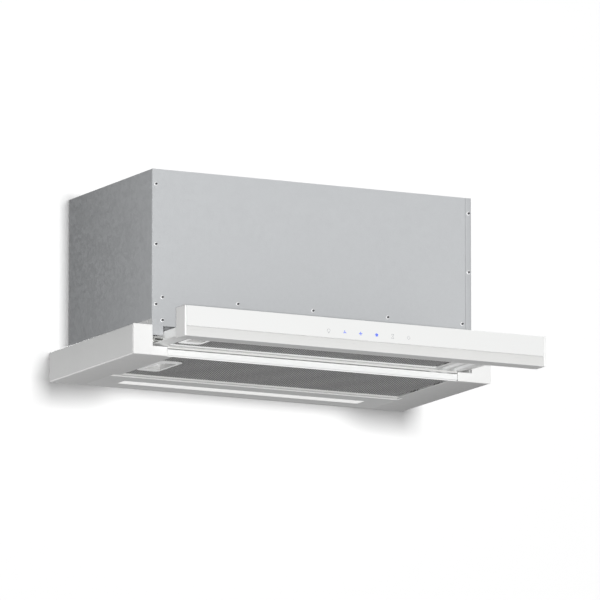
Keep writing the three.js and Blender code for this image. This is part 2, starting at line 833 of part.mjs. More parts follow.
// ---------------------------------------------------------------- grease filters
// A filter is a mesh pad clinched to a frame, with a handle plate and a sliding
// latch at its left end and two tabs at its right end on which it swings down.
function greaseFilter(name, opening, lowFace, sheetTop) {
  const [x0, x1] = [opening.left + seat, opening.right - runGap - 1];
  const [d0, d1] = [opening.front + lipGap, opening.back - lipGap];
  const meshTop = lowFace + meshThickness;
  const frameBottom = meshTop + seat;
  const frameTop = frameBottom + frameHeight;
  const middle = (d0 + d1) / 2;
  const pocket = {
    x: [x0 + handleInset + pocketInset, x0 + handleInset + pocketInset + pocketWidth],
    d: [middle - pocketLength / 2, middle + pocketLength / 2],
  };
  const slotDepths = [middle - latchWidth / 2 - seat, middle + latchWidth / 2 + seat];
  const boltHeights = [frameBottom + 1.5, frameBottom + 1.5 + latchThickness];
  const slotHeights = [boltHeights[0] - seat, boltHeights[1] + seat];

  const frame = cut(
    block([x0, x1], [d0, d1], [frameBottom, frameTop]),
    block(
      [x0 + frameBand, x1 - frameBand],
      [d0 + frameBand, d1 - frameBand],
      [frameBottom - 1, frameTop + 1],
    ),
    block(
      [x0 + frameSheet, x1 - frameSheet],
      [d0 + frameSheet, d1 - frameSheet],
      [frameBottom + frameSheet, frameTop - frameSheet],
    ),
    block([x0 - 1, x0 + frameBand + 1], slotDepths, slotHeights),
  );
  const tabs = [tabShare, 1 - tabShare].flatMap((share) => {
    const centre = d0 + share * (d1 - d0);
    const depths = [centre - tabWidth / 2, centre + tabWidth / 2];
    const tip = opening.right + tabReach;
    return [
      block([x1 - 1, tip], depths, [frameBottom, frameBottom + tabThickness]),
      block([tip - tabFoot, tip], depths, [sheetTop + seat, frameBottom + tabThickness]),
    ];
  });

  const pad = cut(
    block([x0, x1], [d0, d1], [lowFace, meshTop]),
    block(
      [pocket.x[0] - pocketWall - seat, pocket.x[1] + pocketWall + seat],
      [pocket.d[0] - pocketWall - seat, pocket.d[1] + pocketWall + seat],
      [lowFace - 1, meshTop + 1],
    ),
  );

  const plateLow = lowFace - seat - handlePlate;
  const plate = alongZ(
    roundedRectangle(
      x0 + handleInset,
      x0 + handleInset + handleWidth,
      middle - handleLength / 2,
      middle + handleLength / 2,
      handleCorner,
    ),
    plateLow,
    lowFace - seat,
    4,
  );
  const well = block(
    [pocket.x[0] - pocketWall, pocket.x[1] + pocketWall],
    [pocket.d[0] - pocketWall, pocket.d[1] + pocketWall],
    [plateLow + handlePlate / 2, frameTop],
  );
  const handle = cut(
    join(plate, well),
    block(pocket.x, pocket.d, [plateLow - 1, frameTop - pocketWall]),
    block([pocket.x[0] - pocketWall - 1, pocket.x[0] + 1], slotDepths, slotHeights),
  );

  const bolt = block([opening.left + seat, pocket.x[0] + 2 * latchTab], [
    middle - latchWidth / 2,
    middle + latchWidth / 2,
  ], boltHeights);
  const thumb = block(
    [pocket.x[0] + latchTab, pocket.x[0] + 2 * latchTab],
    [middle - latchWidth / 2, middle + latchWidth / 2],
    [plateLow + handlePlate, boltHeights[1]],
  );

  add(`${name}_frame`, 'aluminium', join(frame, ...tabs));
  add(`${name}_mesh`, 'aluminium', pad);
  add(`${name}_handle`, 'latch', handle);
  add(`${name}_latch`, 'latch', join(bolt, thumb));
}

greaseFilter(
  'fixed_filter',
  { left: -openingHalf, right: openingHalf, front: openingFront, back: openingBack + seat },
  filterRecess + fixedFilterLift,
  baseSheet,
);
greaseFilter('drawer_filter', trayOpening, trayBottom + filterRecess, trayBottom + baseSheet);

// ---------------------------------------------------------------- blower
const degrees = Math.PI / 180;
const flangeTop = topUnder - seat;
const ductBack = blowerDepth + scrollEnd;

// The volute widens steadily from the tongue, round below the wheel and up into
// the duct. The offset is the wall outside its inner face.
const voluteRadius = (angle) =>
  scrollStart + ((scrollEnd - scrollStart) * (angle - tongueAngle)) / (360 - tongueAngle);

function voluteOutline(offset, top) {
  const points = [];
  const steps = 24;
  for (let i = 0; i <= steps; i += 1) {
    const angle = tongueAngle + ((360 - tongueAngle) * i) / steps;
    const radius = voluteRadius(angle) + offset;
    points.push(new THREE.Vector2(
      blowerDepth + radius * Math.cos(angle * degrees),
      blowerHeight + radius * Math.sin(angle * degrees),
    ));
  }
  points.push(new THREE.Vector2(ductBack + offset, top));
  points.push(new THREE.Vector2(ductFront - offset, top));
  return points;
}

function scrollHalfShell(side) {
  const joint = seat / 2;
  const inside = scrollHalf - scrollWall;
  const ears = earAngles.map((angle) => {
    const radius = voluteRadius(angle) + scrollWall + earRadius / 2;
    const centre = [
      blowerDepth + radius * Math.cos(angle * degrees),
      blowerHeight + radius * Math.sin(angle * degrees),
    ];
    return alongX(disc(earRadius, 0, centre), ...span(side, joint, joint + earLength), 6);
  });
  const outline = voluteOutline(scrollWall, flangeTop - scrollFlange / 2);
  const shell = alongX(outline, ...span(side, joint, scrollHalf));
  const flange = block(
    span(side, joint, scrollHalf + scrollFlangeMargin),
    [outletDepth - outletBore - scrollFlangeMargin / 2, outletDepth + outletBore + scrollFlangeMargin / 2],
    [flangeTop - scrollFlange, flangeTop],
  );
  const lip = alongX(
    disc(inletRadius + inletLipWidth, inletRadius, [blowerDepth, blowerHeight]),
    ...span(side, scrollHalf - scrollWall / 2, scrollHalf + inletLip),
    12,
  );
  const cavity = alongX(voluteOutline(0, flangeTop + 1), ...span(side, joint - 1, inside));
  const inlet = alongX(
    disc(inletRadius, 0, [blowerDepth, blowerHeight]),
    ...span(side, inside - 1, scrollHalf + inletLip + 1),
    12,
  );
  return cut(join(shell, flange, lip, ...ears), cavity, inlet);
}

// One forward-curved blade: an arc of constant thickness between two radii.
function bladeOutline(start) {
  const steps = 3;
  const outer = [];
  const inner = [];
  for (let i = 0; i <= steps; i += 1) {
    const share = i / steps;
    const radius = fanInner + (fanRadius - 0.5 - fanInner) * share;
    const angle = start + bladeSweep * degrees * share ** 1.6;
    const spread = bladeThickness / 2 / radius;
    outer.push([radius, angle + spread]);
    inner.push([radius, angle - spread]);
  }
  return [...outer, ...inner.reverse()].map(([radius, angle]) => new THREE.Vector2(
    blowerDepth + radius * Math.cos(angle),
    blowerHeight + radius * Math.sin(angle),
  ));
}

function impeller() {
  const centre = [blowerDepth, blowerHeight];
  const blades = Array.from({ length: bladeCount }, (_, i) =>
    alongX(bladeOutline((2 * Math.PI * i) / bladeCount), -fanHalf + 1, fanHalf - 1));
  const web = alongX(disc(fanRadius, 0, centre), -fanDisc / 2, fanDisc / 2, 36);
  const rims = [-1, 1].map((side) => {
    const ends = span(side, fanHalf - fanRim, fanHalf);
    return alongX(disc(fanRadius, fanRadius - fanRimBand, centre), ...ends, 36);
  });
  const hub = alongX(disc(hubRadius, 0, centre), -hubLength + fanDisc / 2, fanDisc, 8);
  const bore = alongX(disc(shaftRadius + shaftGap, 0, centre), -hubLength - fanDisc, 2 * fanDisc, 6);
  return cut(join(web, ...rims, hub, ...blades), bore);
}

function lathedAlongX(profile, segments) {
  const points = profile.map(([radius, x]) => new THREE.Vector2(radius, x));
  const geometry = new THREE.LatheGeometry(points, segments);
  return geometry.rotateZ(-Math.PI / 2).translate(0, at(blowerDepth), blowerHeight);
}

const bracketInner = scrollHalf + inletLip + seat;
const motorEnd = fanHalf - 1;

function motorBody() {
  const can = lathedAlongX(
    [
      [0, motorStart],
      [motorRadius * 0.4, motorStart],
      [motorRadius * 0.45, motorStart + motorShoulder * 0.5],
      [motorRadius * 0.9, motorStart + motorShoulder * 0.65],
      [motorRadius, motorStart + motorShoulder],
      [motorRadius, motorEnd - motorNeck],
      [motorRadius * 0.92, motorEnd - motorNeck * 0.85],
      [motorRadius * 0.92, motorEnd - motorNeck * 0.2],
      [motorRadius * 0.85, motorEnd],
      [0, motorEnd],
    ],
    32,
  );
  const bore = alongX(
    disc(shaftRadius + shaftGap, 0, [blowerDepth, blowerHeight]),
    motorStart - 1,
    shaftReach + seat,
    6,
  );
  return cut(can, bore);
}

function motorBracket() {
  const centre = [blowerDepth, blowerHeight];
  const ringOuter = inletRadius + inletLipWidth + seat + bracketBand;
  const ringInner = ringOuter - bracketBand;
  const plate = [bracketInner, bracketInner + bracketPlate];
  const ring = alongX(disc(ringOuter, ringInner, centre), scrollHalf + seat, plate[1], 16);
  const boss = alongX(disc(motorRadius * 0.5, 0, centre), motorEnd + seat, plate[1], 8);
  const arms = Array.from({ length: armCount }, (_, i) => {
    const arm = new THREE.BoxGeometry(bracketPlate, ringInner + bracketBand / 2, armWidth);
    arm.translate((plate[0] + plate[1]) / 2, (ringInner + bracketBand / 2) / 2, 0);
    arm.rotateX((2 * Math.PI * i) / armCount + Math.PI / 2);
    return arm.translate(0, at(blowerDepth), blowerHeight);
  });
  return join(ring, boss, ...arms);
}

add('scroll_left', 'blackPlastic', scrollHalfShell(-1));
add('scroll_right', 'blackPlastic', scrollHalfShell(1));
add('impeller', 'greyPlastic', impeller());
add(
  'motor_shaft',
  'steel',
  alongX(disc(shaftRadius, 0, [blowerDepth, blowerHeight]), -hubLength, shaftReach, 6),
);
add('motor_body', 'steel', motorBody());
add('motor_bracket', 'galvanised', motorBracket());

// ---------------------------------------------------------------- outlet
const collarBase = collarSeat + collarWall;
const pinLevel = collarBase + pinHeight;
const collarTop = collarSeat + collarHeight;
const pinHalf = collarOuter - collarWall / 2; // the pin's ends stop inside the ring's wall

function outletCollar() {
  const profile = [
    [outletBore, collarSeat],
    [collarFlange, collarSeat],
    [collarFlange, collarBase],
    [collarOuter, collarBase],
    [collarOuter, collarTop - 3 * collarBead],
    [collarOuter + collarBead, collarTop - 2 * collarBead],
    [collarOuter, collarTop],
    [collarOuter - collarWall, collarTop],
    [collarOuter - collarWall, collarBase],
    [outletBore, collarBase],
    [outletBore, collarSeat],
  ].map(([radius, z]) => new THREE.Vector2(radius, z));
  const ring = new THREE.LatheGeometry(profile, 56).rotateX(Math.PI / 2).translate(0, at(outletDepth), 0);
  const bore = alongX(
    disc(pinRadius + seat, 0, [outletDepth, pinLevel]),
    -collarOuter - 1,
    collarOuter + 1,
    3,
  );
  return cut(ring, bore);
}

// Each flap is half a disc that stays clear of the pin but for one web to its
// barrel: the front flap's barrel is on the left and the rear one's on the right.
function flap(front) {
  const side = front ? -1 : 1;
  const radius = collarOuter - collarWall - flapGap;
  const low = collarBase + seat;
  const heights = [low, low + flapThickness];
  const away = (a, b) => (front ? [outletDepth - b, outletDepth - a] : [outletDepth + a, outletDepth + b]);
  const centre = [outletDepth, pinLevel];
  const length = span(side, barrelInner, barrelOuter);
  const edge = barrelRadius + seat;
  const half = cut(
    alongZ(disc(radius, 0, [0, outletDepth]), ...heights, 18),
    block([-collarOuter, collarOuter], away(-collarOuter, edge), [low - 1, low + 2 * flapThickness]),
  );
  const web = block(length, away(0, edge + flapWeb), heights);
  const stiffener = block(
    span(side, barrelInner, barrelInner + flapThickness),
    away(barrelRadius / 2, ribReach),
    [low, low + flapThickness + flapRib],
  );
  const barrel = alongX(disc(barrelRadius, 0, centre), ...length, 6);
  const bore = alongX(disc(pinRadius + seat, 0, centre), -collarOuter, collarOuter, 6);
  return cut(join(half, web, stiffener, barrel), bore);
}

add('outlet_collar', 'blackPlastic', outletCollar());
add(
  'flap_pin',
  'steel',
  alongX(disc(pinRadius, 0, [outletDepth, pinLevel]), -pinHalf, pinHalf, 4),
);
add('flap_front', 'greyPlastic', flap(true));
add('flap_rear', 'greyPlastic', flap(false));

// ---------------------------------------------------------------- electrics
const boxRight = housingInside - seat;
const boxLeft = boxRight - boxWidth;
const boxBottom = housingTop - boxBelowTop - boxHeight;

function controlBox() {
  const shell = block(
    [boxLeft, boxRight],
    [boxFront, boxFront + boxDepth],
    [boxBottom, boxBottom + boxHeight],
  );
  const inside = block(
    [boxLeft - 1, boxRight - boxWall],
    [boxFront + boxWall, boxFront + boxDepth - boxWall],
    [boxBottom + boxWall, boxBottom + boxHeight - boxWall],
  );
  return cut(shell, inside);
}

function cableGland() {
  const profile = [
    [glandBore, topUnder - glandNeck],
    [glandNeck, topUnder - glandNeck],
    [glandNeck, collarSeat],
    [glandRadius, collarSeat],
    [glandRadius, collarSeat + glandHeight * 0.4],
    [glandRadius * 0.8, collarSeat + glandHeight * 0.5],
    [glandRadius * 0.8, collarSeat + glandHeight * 0.8],
    [glandRadius * 0.6, collarSeat + glandHeight],
    [glandBore, collarSeat + glandHeight],
    [glandBore, topUnder - glandNeck],
  ].map(([radius, z]) => new THREE.Vector2(radius, z));
  return new THREE.LatheGeometry(profile, 24).rotateX(Math.PI / 2).translate(glandX, at(glandDepth), 0);
}

const boardRight = boxRight - boxWall - seat;
add('control_box', 'greyPlastic', controlBox());
add(
  'control_box_lid',
  'greyPlastic',
  join(
    block(
      [boxLeft - seat - boxWall, boxLeft - seat],
      [boxFront, boxFront + boxDepth],
      [boxBottom, boxBottom + boxHeight],
    ),
    cut(
      block(
        [boxLeft - seat - boxWall / 2, boxLeft + lidLip],
        [boxFront + boxWall + seat, boxFront + boxDepth - boxWall - seat],
        [boxBottom + boxWall + seat, boxBottom + boxHeight - boxWall - seat],
      ),
      block(
        [boxLeft - seat, boxLeft + lidLip + 1],
        [boxFront + 2 * boxWall + seat, boxFront + boxDepth - 2 * boxWall - seat],
        [boxBottom + 2 * boxWall + seat, boxBottom + boxHeight - 2 * boxWall - seat],
      ),
    ),
  ),
);
add(
  'power_board',
  'board',
  block(
    [boardRight - boardThickness, boardRight],
    [boxFront + 3 * boxWall, boxFront + boxDepth - 3 * boxWall],
    [boxBottom + 3 * boxWall, boxBottom + boxHeight - 3 * boxWall],
  ),
);
add(
  'capacitor',
  'whitePlastic',
  alongZ(
    disc(capacitorRadius, 0, [
      boardRight - boardThickness - seat - capacitorRadius,
      boxFront + boxWall + 2 * capacitorRadius,
    ]),
    boxBottom + boxWall + seat,
    boxBottom + boxWall + seat + capacitorLength,
    8,
  ),
);
add('cable_gland', 'blackPlastic', cableGland());

export default hood;
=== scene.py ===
"""A pull-out range hood on a white wall, seen from below with its drawer out.

Metres, +Z up, the front faces -Y. Pieces take their places from the CAD nodes' boxes.
"""

import json
import math

import bmesh
import bpy
from mathutils import Matrix, Vector, noise


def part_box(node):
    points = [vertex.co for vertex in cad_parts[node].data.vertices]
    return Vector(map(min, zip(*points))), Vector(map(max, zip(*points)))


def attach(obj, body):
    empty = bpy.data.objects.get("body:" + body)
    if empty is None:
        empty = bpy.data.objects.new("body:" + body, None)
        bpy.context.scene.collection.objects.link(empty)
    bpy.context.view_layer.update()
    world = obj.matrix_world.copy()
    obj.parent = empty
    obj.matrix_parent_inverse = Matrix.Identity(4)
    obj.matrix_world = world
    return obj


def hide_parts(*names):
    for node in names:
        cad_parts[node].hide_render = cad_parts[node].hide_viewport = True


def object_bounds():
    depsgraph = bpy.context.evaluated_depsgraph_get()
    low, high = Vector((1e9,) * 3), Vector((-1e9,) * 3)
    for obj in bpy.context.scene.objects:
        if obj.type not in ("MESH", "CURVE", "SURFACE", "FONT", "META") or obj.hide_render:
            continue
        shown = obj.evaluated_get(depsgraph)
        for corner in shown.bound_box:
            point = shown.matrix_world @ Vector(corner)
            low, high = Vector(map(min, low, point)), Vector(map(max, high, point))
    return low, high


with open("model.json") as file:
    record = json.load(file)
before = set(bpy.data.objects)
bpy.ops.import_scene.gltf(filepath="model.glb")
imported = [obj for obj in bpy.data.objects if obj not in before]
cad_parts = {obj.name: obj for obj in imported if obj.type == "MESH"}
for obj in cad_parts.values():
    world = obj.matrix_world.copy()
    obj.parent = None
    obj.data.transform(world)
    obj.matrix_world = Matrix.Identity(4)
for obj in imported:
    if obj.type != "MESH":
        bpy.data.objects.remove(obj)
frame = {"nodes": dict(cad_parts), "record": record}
cad_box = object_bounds()

MM = 0.001
X, Y, Z = Vector((1, 0, 0)), Vector((0, 1, 0)), Vector((0, 0, 1))
WELD = 1e-6  # points nearer than this are one
FLAT_ANGLE = math.radians(0.4)  # triangles nearer to flat than this are one face
SHARP_ANGLE = math.radians(38)  # edges over this stay sharp in the shading and are broken
ROUND_STEPS = 2  # segments across a broken edge

bodies = frame["record"]["behaviour"]["bodies"]
body_of = {node: body for body, members in bodies.items() for node in members}
slot_of = {part["node"]: part["material_slot"] for part in frame["record"]["subparts"]}


# ---------------------------------------------------------------- camera, stage and light
CAMERA_PLACE = Vector((-7.15520, -14.04934, -2.68984))
CAMERA_YAW = math.radians(27.01)
CAMERA_PITCH = math.radians(10.08)
FOCAL_MM, SENSOR_MM = 641.7, 36.0
CLIP_NEAR, CLIP_FAR = 1.0, 80.0

WALL_GAP = 0.3 * MM
FLOOR_LEVEL = -3.3
STAGE_HALF = 14.0
STAGE_HIGH = 9.0
STAGE_GLOW = 0.1
STAGE_TONE = 0.5

# Strengths of the soft light, and of the room that shiny surfaces mirror. The part of the
# room below the hood is at its full strength for rays that go down as steeply as STEEP.
SKY_TOP, SKY_BOTTOM = 0.30, 0.11
SHINE_FRONT, SHINE_BACK, SHINE_BELOW = 1.0, 0.04, 0.8
STEEP = -0.45

# Lamps. An aim is in degrees to the left of the front and above the hood's level.
MIDDLE = (cad_box[0] + cad_box[1]) / 2
LAMP_AWAY = 9.0
KEY_SIZE, KEY_POWER = (0.35, 0.35), 2500.0
BACK_AIM, BACK_SIZE, BACK_POWER = (-150.0, 42.0), (7.0, 7.0), 640.0
WASH_AIM, WASH_SIZE, WASH_POWER = (0.3, 1.25), (0.72, 0.9), 1360.0
LED_DROP, LED_POWER = 2 * MM, 0.1
GLOW_AWAY, GLOW_DROP, GLOW_HIGH, GLOW_POWER = 32 * MM, 12 * MM, 20 * MM, 0.05


def link(obj):
    bpy.context.scene.collection.objects.link(obj)
    return obj


def make_camera():
    data = bpy.data.cameras.new("photo_camera")
    data.sensor_width = SENSOR_MM
    data.lens = FOCAL_MM
    data.clip_start, data.clip_end = CLIP_NEAR, CLIP_FAR
    camera = link(bpy.data.objects.new("photo_camera", data))
    camera.location = CAMERA_PLACE
    camera.rotation_euler = (math.pi / 2 + CAMERA_PITCH, 0, -CAMERA_YAW)
    bpy.context.scene.camera = camera


def stage_material():
    """White that keeps the object's soft shadow, and lets the camera through from behind."""
    material = bpy.data.materials.new("stage_white")
    material.use_nodes = True
    tree = material.node_tree
    tree.nodes.clear()
    add, wire = tree.nodes.new, tree.links.new
    diffuse = add("ShaderNodeBsdfDiffuse")
    diffuse.inputs["Color"].default_value = (STAGE_TONE, STAGE_TONE, STAGE_TONE, 1)
    glow = add("ShaderNodeEmission")
    glow.inputs["Strength"].default_value = STAGE_GLOW
    both = add("ShaderNodeAddShader")
    clear = add("ShaderNodeBsdfTransparent")
    facing = add("ShaderNodeNewGeometry")
    choose = add("ShaderNodeMixShader")
    out = add("ShaderNodeOutputMaterial")
    wire(diffuse.outputs[0], both.inputs[0])
    wire(glow.outputs[0], both.inputs[1])
    wire(facing.outputs["Backfacing"], choose.inputs[0])
    wire(both.outputs[0], choose.inputs[1])
    wire(clear.outputs[0], choose.inputs[2])
    wire(choose.outputs[0], out.inputs["Surface"])
    return material


def stage_sheet(name, corners, material):
    """A one-sided sheet that only the camera sees, so that it blocks no light."""
    mesh = bpy.data.meshes.new(name)
    mesh.from_pydata(corners, [], [(0, 1, 2, 3)])
    mesh.materials.append(material)
    sheet = link(bpy.data.objects.new(name, mesh))
    sheet.visible_diffuse = sheet.visible_glossy = False
    sheet.visible_transmission = sheet.visible_shadow = False
    return sheet


def make_stage():
    """A wall behind the hood and a floor far below it."""
    wall_y = cad_box[1].y + WALL_GAP
    reach = STAGE_HALF
    material = stage_material()
    wall = [(-reach, wall_y, FLOOR_LEVEL), (reach, wall_y, FLOOR_LEVEL)]
    wall += [(reach, wall_y, STAGE_HIGH), (-reach, wall_y, STAGE_HIGH)]
    sheets = [stage_sheet("wall", wall, material)]
    floor = [(-reach, wall_y - 2 * reach, FLOOR_LEVEL), (reach, wall_y - 2 * reach, FLOOR_LEVEL)]
    floor += [(reach, wall_y, FLOOR_LEVEL), (-reach, wall_y, FLOOR_LEVEL)]
    return sheets + [stage_sheet("floor", floor, material)]


def make_world():
    """Soft light, stronger from above. The camera sees plain white, and shiny surfaces
    mirror a room that is bright in front of the hood and below it, and dark behind it."""
    world = bpy.data.worlds.new("studio")
    world.use_nodes = True
    bpy.context.scene.world = world
    tree = world.node_tree
    add, wire = tree.nodes.new, tree.links.new
    shade = tree.nodes["Background"]
    shade.inputs["Color"].default_value = (1, 1, 1, 1)
    direction = add("ShaderNodeTexCoord")
    split = add("ShaderNodeSeparateXYZ")
    path = add("ShaderNodeLightPath")
    wire(direction.outputs["Generated"], split.inputs[0])

    def ramp(axis, low, high, source=(-1, 1)):
        made = add("ShaderNodeMapRange")
        made.inputs["From Min"].default_value, made.inputs["From Max"].default_value = source
        made.inputs["To Min"].default_value = low
        made.inputs["To Max"].default_value = high
        wire(split.outputs[axis], made.inputs["Value"])
        return made.outputs[0]

    def choose(rays, otherwise, when):
        made = add("ShaderNodeMix")
        wire(path.outputs[rays], made.inputs["Factor"])
        wire(otherwise, made.inputs["A"])
        if isinstance(when, float):
            made.inputs["B"].default_value = when
        else:
            wire(when, made.inputs["B"])
        return made.outputs["Result"]

    shine = add("ShaderNodeMath")
    wire(ramp("Y", SHINE_FRONT, SHINE_BACK), shine.inputs[0])
    wire(ramp("Z", SHINE_BELOW, 0, (STEEP, 0)), shine.inputs[1])
    strength = ramp("Z", SKY_BOTTOM, SKY_TOP)
    strength = choose("Is Glossy Ray", strength, shine.outputs[0])
    for rays in ("Is Transmission Ray", "Is Camera Ray"):
        strength = choose(rays, strength, 1.0)
    wire(strength, shade.inputs["Strength"])


def area_lamp(name, place, aim, size, power):
    data = bpy.data.lights.new(name, "AREA")
    data.shape = "RECTANGLE"
    data.size, data.size_y = size
    data.energy = power
    lamp = link(bpy.data.objects.new(name, data))
    lamp.location = place
    lamp.rotation_mode = "QUATERNION"
    lamp.rotation_quaternion = (aim - place).to_track_quat("-Z", "Y")
    lamp.visible_camera = False
    return lamp


def softbox(name, aim, size, power):
    """A lamp that shines on the hood, at degrees to its left and above its level."""
    left, up = (math.radians(angle) for angle in aim)
    toward = Vector((-math.sin(left) * math.cos(up), -math.cos(left) * math.cos(up), math.sin(up)))
    return area_lamp(name, MIDDLE + toward * LAMP_AWAY, MIDDLE, size, power)


def shine_on_stage(lamp, sheets, state):
    """Lets a lamp light the stage alone (INCLUDE) or all but the stage (EXCLUDE)."""
    group = bpy.data.collections.new(f"{lamp.name}_receivers")
    for sheet in sheets:
        group.objects.link(sheet)
    for member in group.collection_objects:
        member.light_linking.link_state = state
    lamp.light_linking.receiver_collection = group


def make_lamps(sheets):
    key = area_lamp("key", CAMERA_PLACE, MIDDLE, KEY_SIZE, KEY_POWER)
    shine_on_stage(key, sheets, "EXCLUDE")
    shine_on_stage(softbox("back_light", BACK_AIM, BACK_SIZE, BACK_POWER), sheets, "EXCLUDE")
    shine_on_stage(softbox("wall_wash", WASH_AIM, WASH_SIZE, WASH_POWER), sheets, "INCLUDE")
    low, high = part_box("light_diffuser")
    below = Vector(((low.x + high.x) / 2, (low.y + high.y) / 2, low.z - LED_DROP))
    area_lamp("led_strip", below, below - Z, (high.x - low.x, high.y - low.y), LED_POWER)
    beside = Vector((below.x, cad_box[1].y - GLOW_AWAY, -GLOW_DROP))
    glow = area_lamp("led_glow", beside, beside + Y, (high.x - low.x, GLOW_HIGH), GLOW_POWER)
    shine_on_stage(glow, sheets, "INCLUDE")


# ---------------------------------------------------------------- materials
MIX_COLORS, MIX_RESULT = (6, 7), 2  # the Mix node's colour sockets
LED_PITCH = 15 * MM
# Painted shade on the filter's strands: dark between soft dots, standing for the layers behind the mesh
# showing through.
LAYER_WAVES = ((275, -77, 0), (217, -176, 0))  # waves per metre along each axis
LAYER_PAINTED_SHADE = 0.2


class Finish:
    """A Principled material, with short calls that add detail in real sizes."""

    def __init__(self, name, color, roughness, metallic=0.0, **sockets):
        self.material = bpy.data.materials.new(name)
        self.material.use_nodes = True
        self.tree = self.material.node_tree
        self.shader = self.tree.nodes["Principled BSDF"]
        self.shader.inputs["Base Color"].default_value = (*color, 1)
        self.shader.inputs["Roughness"].default_value = roughness
        self.shader.inputs["Metallic"].default_value = metallic
        for socket, value in sockets.items():
            self.shader.inputs[socket.replace("_", " ")].default_value = value
        self.place = self.node("ShaderNodeTexCoord").outputs["Object"]
        self.normal = None

    def node(self, kind, **settings):
        made = self.tree.nodes.new(kind)
        for setting, value in settings.items():
            setattr(made, setting, value)
        return made

    def wire(self, start, end):
        self.tree.links.new(start, end)

    def stretched(self, stretch):
        """The place on the piece, with each axis scaled by one over a length in metres."""
        scaled = self.node("ShaderNodeVectorMath", operation="MULTIPLY")
        self.wire(self.place, scaled.inputs[0])
        scaled.inputs[1].default_value = [1 / length for length in stretch]
        return scaled.outputs[0]

    def grain(self, size, detail=2.0):
        """Noise with features of that size: one length, or a length along each axis."""
        sizes = size if isinstance(size, tuple) else (size,) * 3
        made = self.node("ShaderNodeTexNoise")
        self.wire(self.stretched(sizes), made.inputs["Vector"])
        made.inputs["Scale"].default_value = 1.0
        made.inputs["Detail"].default_value = detail
        return made.outputs["Fac"]

    def cells(self, size, feature="F1", output="Color"):
        made = self.node("ShaderNodeTexVoronoi", feature=feature)
        self.wire(self.stretched((size,) * 3), made.inputs["Vector"])
        made.inputs["Scale"].default_value = 1.0
        return made.outputs[output]

    def wave(self, often):
        """Rises and falls between 0 and 1, that often per metre along each axis."""
        turn = self.node("ShaderNodeVectorMath", operation="DOT_PRODUCT")
        self.wire(self.place, turn.inputs[0])
        turn.inputs[1].default_value = [math.tau * times for times in often]
        crest = self.node("ShaderNodeMath", operation="COSINE")
        self.wire(turn.outputs["Value"], crest.inputs[0])
        return self.spread(crest.outputs[0], 0, 1, (-1, 1))

    def dots(self, waves):
        """Soft dots where both waves are high, 1 in their middles and 0 between them."""
        both = self.node("ShaderNodeMath", operation="MULTIPLY")
        for i, often in enumerate(waves):
            self.wire(self.wave(often), both.inputs[i])
        return both.outputs[0]

    def spread(self, value, low, high, source=(0.3, 0.7)):
        """Maps the middle of a texture's range onto low to high."""
        made = self.node("ShaderNodeMapRange")
        self.wire(value, made.inputs["Value"])
        made.inputs["From Min"].default_value, made.inputs["From Max"].default_value = source
        made.inputs["To Min"].default_value = low
        made.inputs["To Max"].default_value = high
        return made.outputs[0]

    def mix(self, factor, first, second):
        """Mixes two colours, each a colour or an output."""
        made = self.node("ShaderNodeMix", data_type="RGBA")
        self.wire(factor, made.inputs["Factor"])
        for socket, value in zip(MIX_COLORS, (first, second)):
            if isinstance(value, tuple):
                made.inputs[socket].default_value = (*value, 1)
            else:
                self.wire(value, made.inputs[socket])
        return made.outputs[MIX_RESULT]

    def color(self, output):
        self.wire(output, self.shader.inputs["Base Color"])

    def roughness(self, output):
        self.wire(output, self.shader.inputs["Roughness"])

    def relief(self, height, depth):
        """Bumps of that depth in metres, on top of those already there."""
        bump = self.node("ShaderNodeBump")
        bump.inputs["Distance"].default_value = depth
        self.wire(height, bump.inputs["Height"])
        if self.normal:
            self.wire(self.normal, bump.inputs["Normal"])
        self.normal = bump.outputs[0]
        self.wire(self.normal, self.shader.inputs["Normal"])


def shades(color, amount):
    """A colour made darker and lighter by that share."""
    return tuple(c * (1 - amount) for c in color), tuple(min(1, c * (1 + amount)) for c in color)


def plain_variation(finish, color, amount, size):
    """Soft uneven tone, with finer speckle in it."""
    dark, light = shades(color, amount)
    broad = finish.spread(finish.grain(size), 0, 1)
    finish.color(finish.mix(broad, dark, light))


def powder_coat(name, color, coat=0.12, coat_index=1.5):
    made = Finish(name, color, 0.36, Coat_Weight=coat, Coat_Roughness=0.15, Coat_IOR=coat_index)
    plain_variation(made, color, 0.012, 60 * MM)
    made.roughness(made.spread(made.grain(9 * MM, detail=4), 0.30, 0.42))
    made.relief(made.grain(2.2 * MM, detail=1), 0.012 * MM)
    made.relief(made.grain(0.45 * MM, detail=2), 0.006 * MM)
    return made.material


def white_plastic(name, color):
    made = Finish(name, color, 0.4, Specular_IOR_Level=0.45)
    plain_variation(made, color, 0.01, 35 * MM)
    made.roughness(made.spread(made.grain(5 * MM), 0.36, 0.48))
    made.relief(made.grain(0.3 * MM, detail=3), 0.008 * MM)
    return made.material


def galvanised(name, color, metallic, uneven):
    """Skin-passed galvanised sheet: faint spangle, rolling lines and a broad uneven tone."""
    made = Finish(name, color, 0.5, metallic, Specular_IOR_Level=0.5)
    dark, light = shades(color, uneven)
    spangle = made.node("ShaderNodeSeparateColor")
    made.wire(made.cells(5 * MM), spangle.inputs[0])
    broad = made.spread(made.grain(110 * MM, detail=1), 0.25, 0.75)
    tone = made.node("ShaderNodeMix")
    tone.inputs["Factor"].default_value = 0.4
    made.wire(broad, tone.inputs["A"])
    made.wire(spangle.outputs[0], tone.inputs["B"])
    streaks = made.grain((260 * MM, 260 * MM, 1.4 * MM), detail=3)
    streaked = made.node("ShaderNodeMix")
    streaked.inputs["Factor"].default_value = 0.25
    made.wire(tone.outputs["Result"], streaked.inputs["A"])
    made.wire(streaks, streaked.inputs["B"])
    made.color(made.mix(streaked.outputs["Result"], dark, light))
    made.roughness(made.spread(spangle.outputs[1], 0.42, 0.56, (0, 1)))
    made.relief(streaks, 0.01 * MM)
    made.relief(made.grain(0.8 * MM, detail=2), 0.006 * MM)
    return made.material


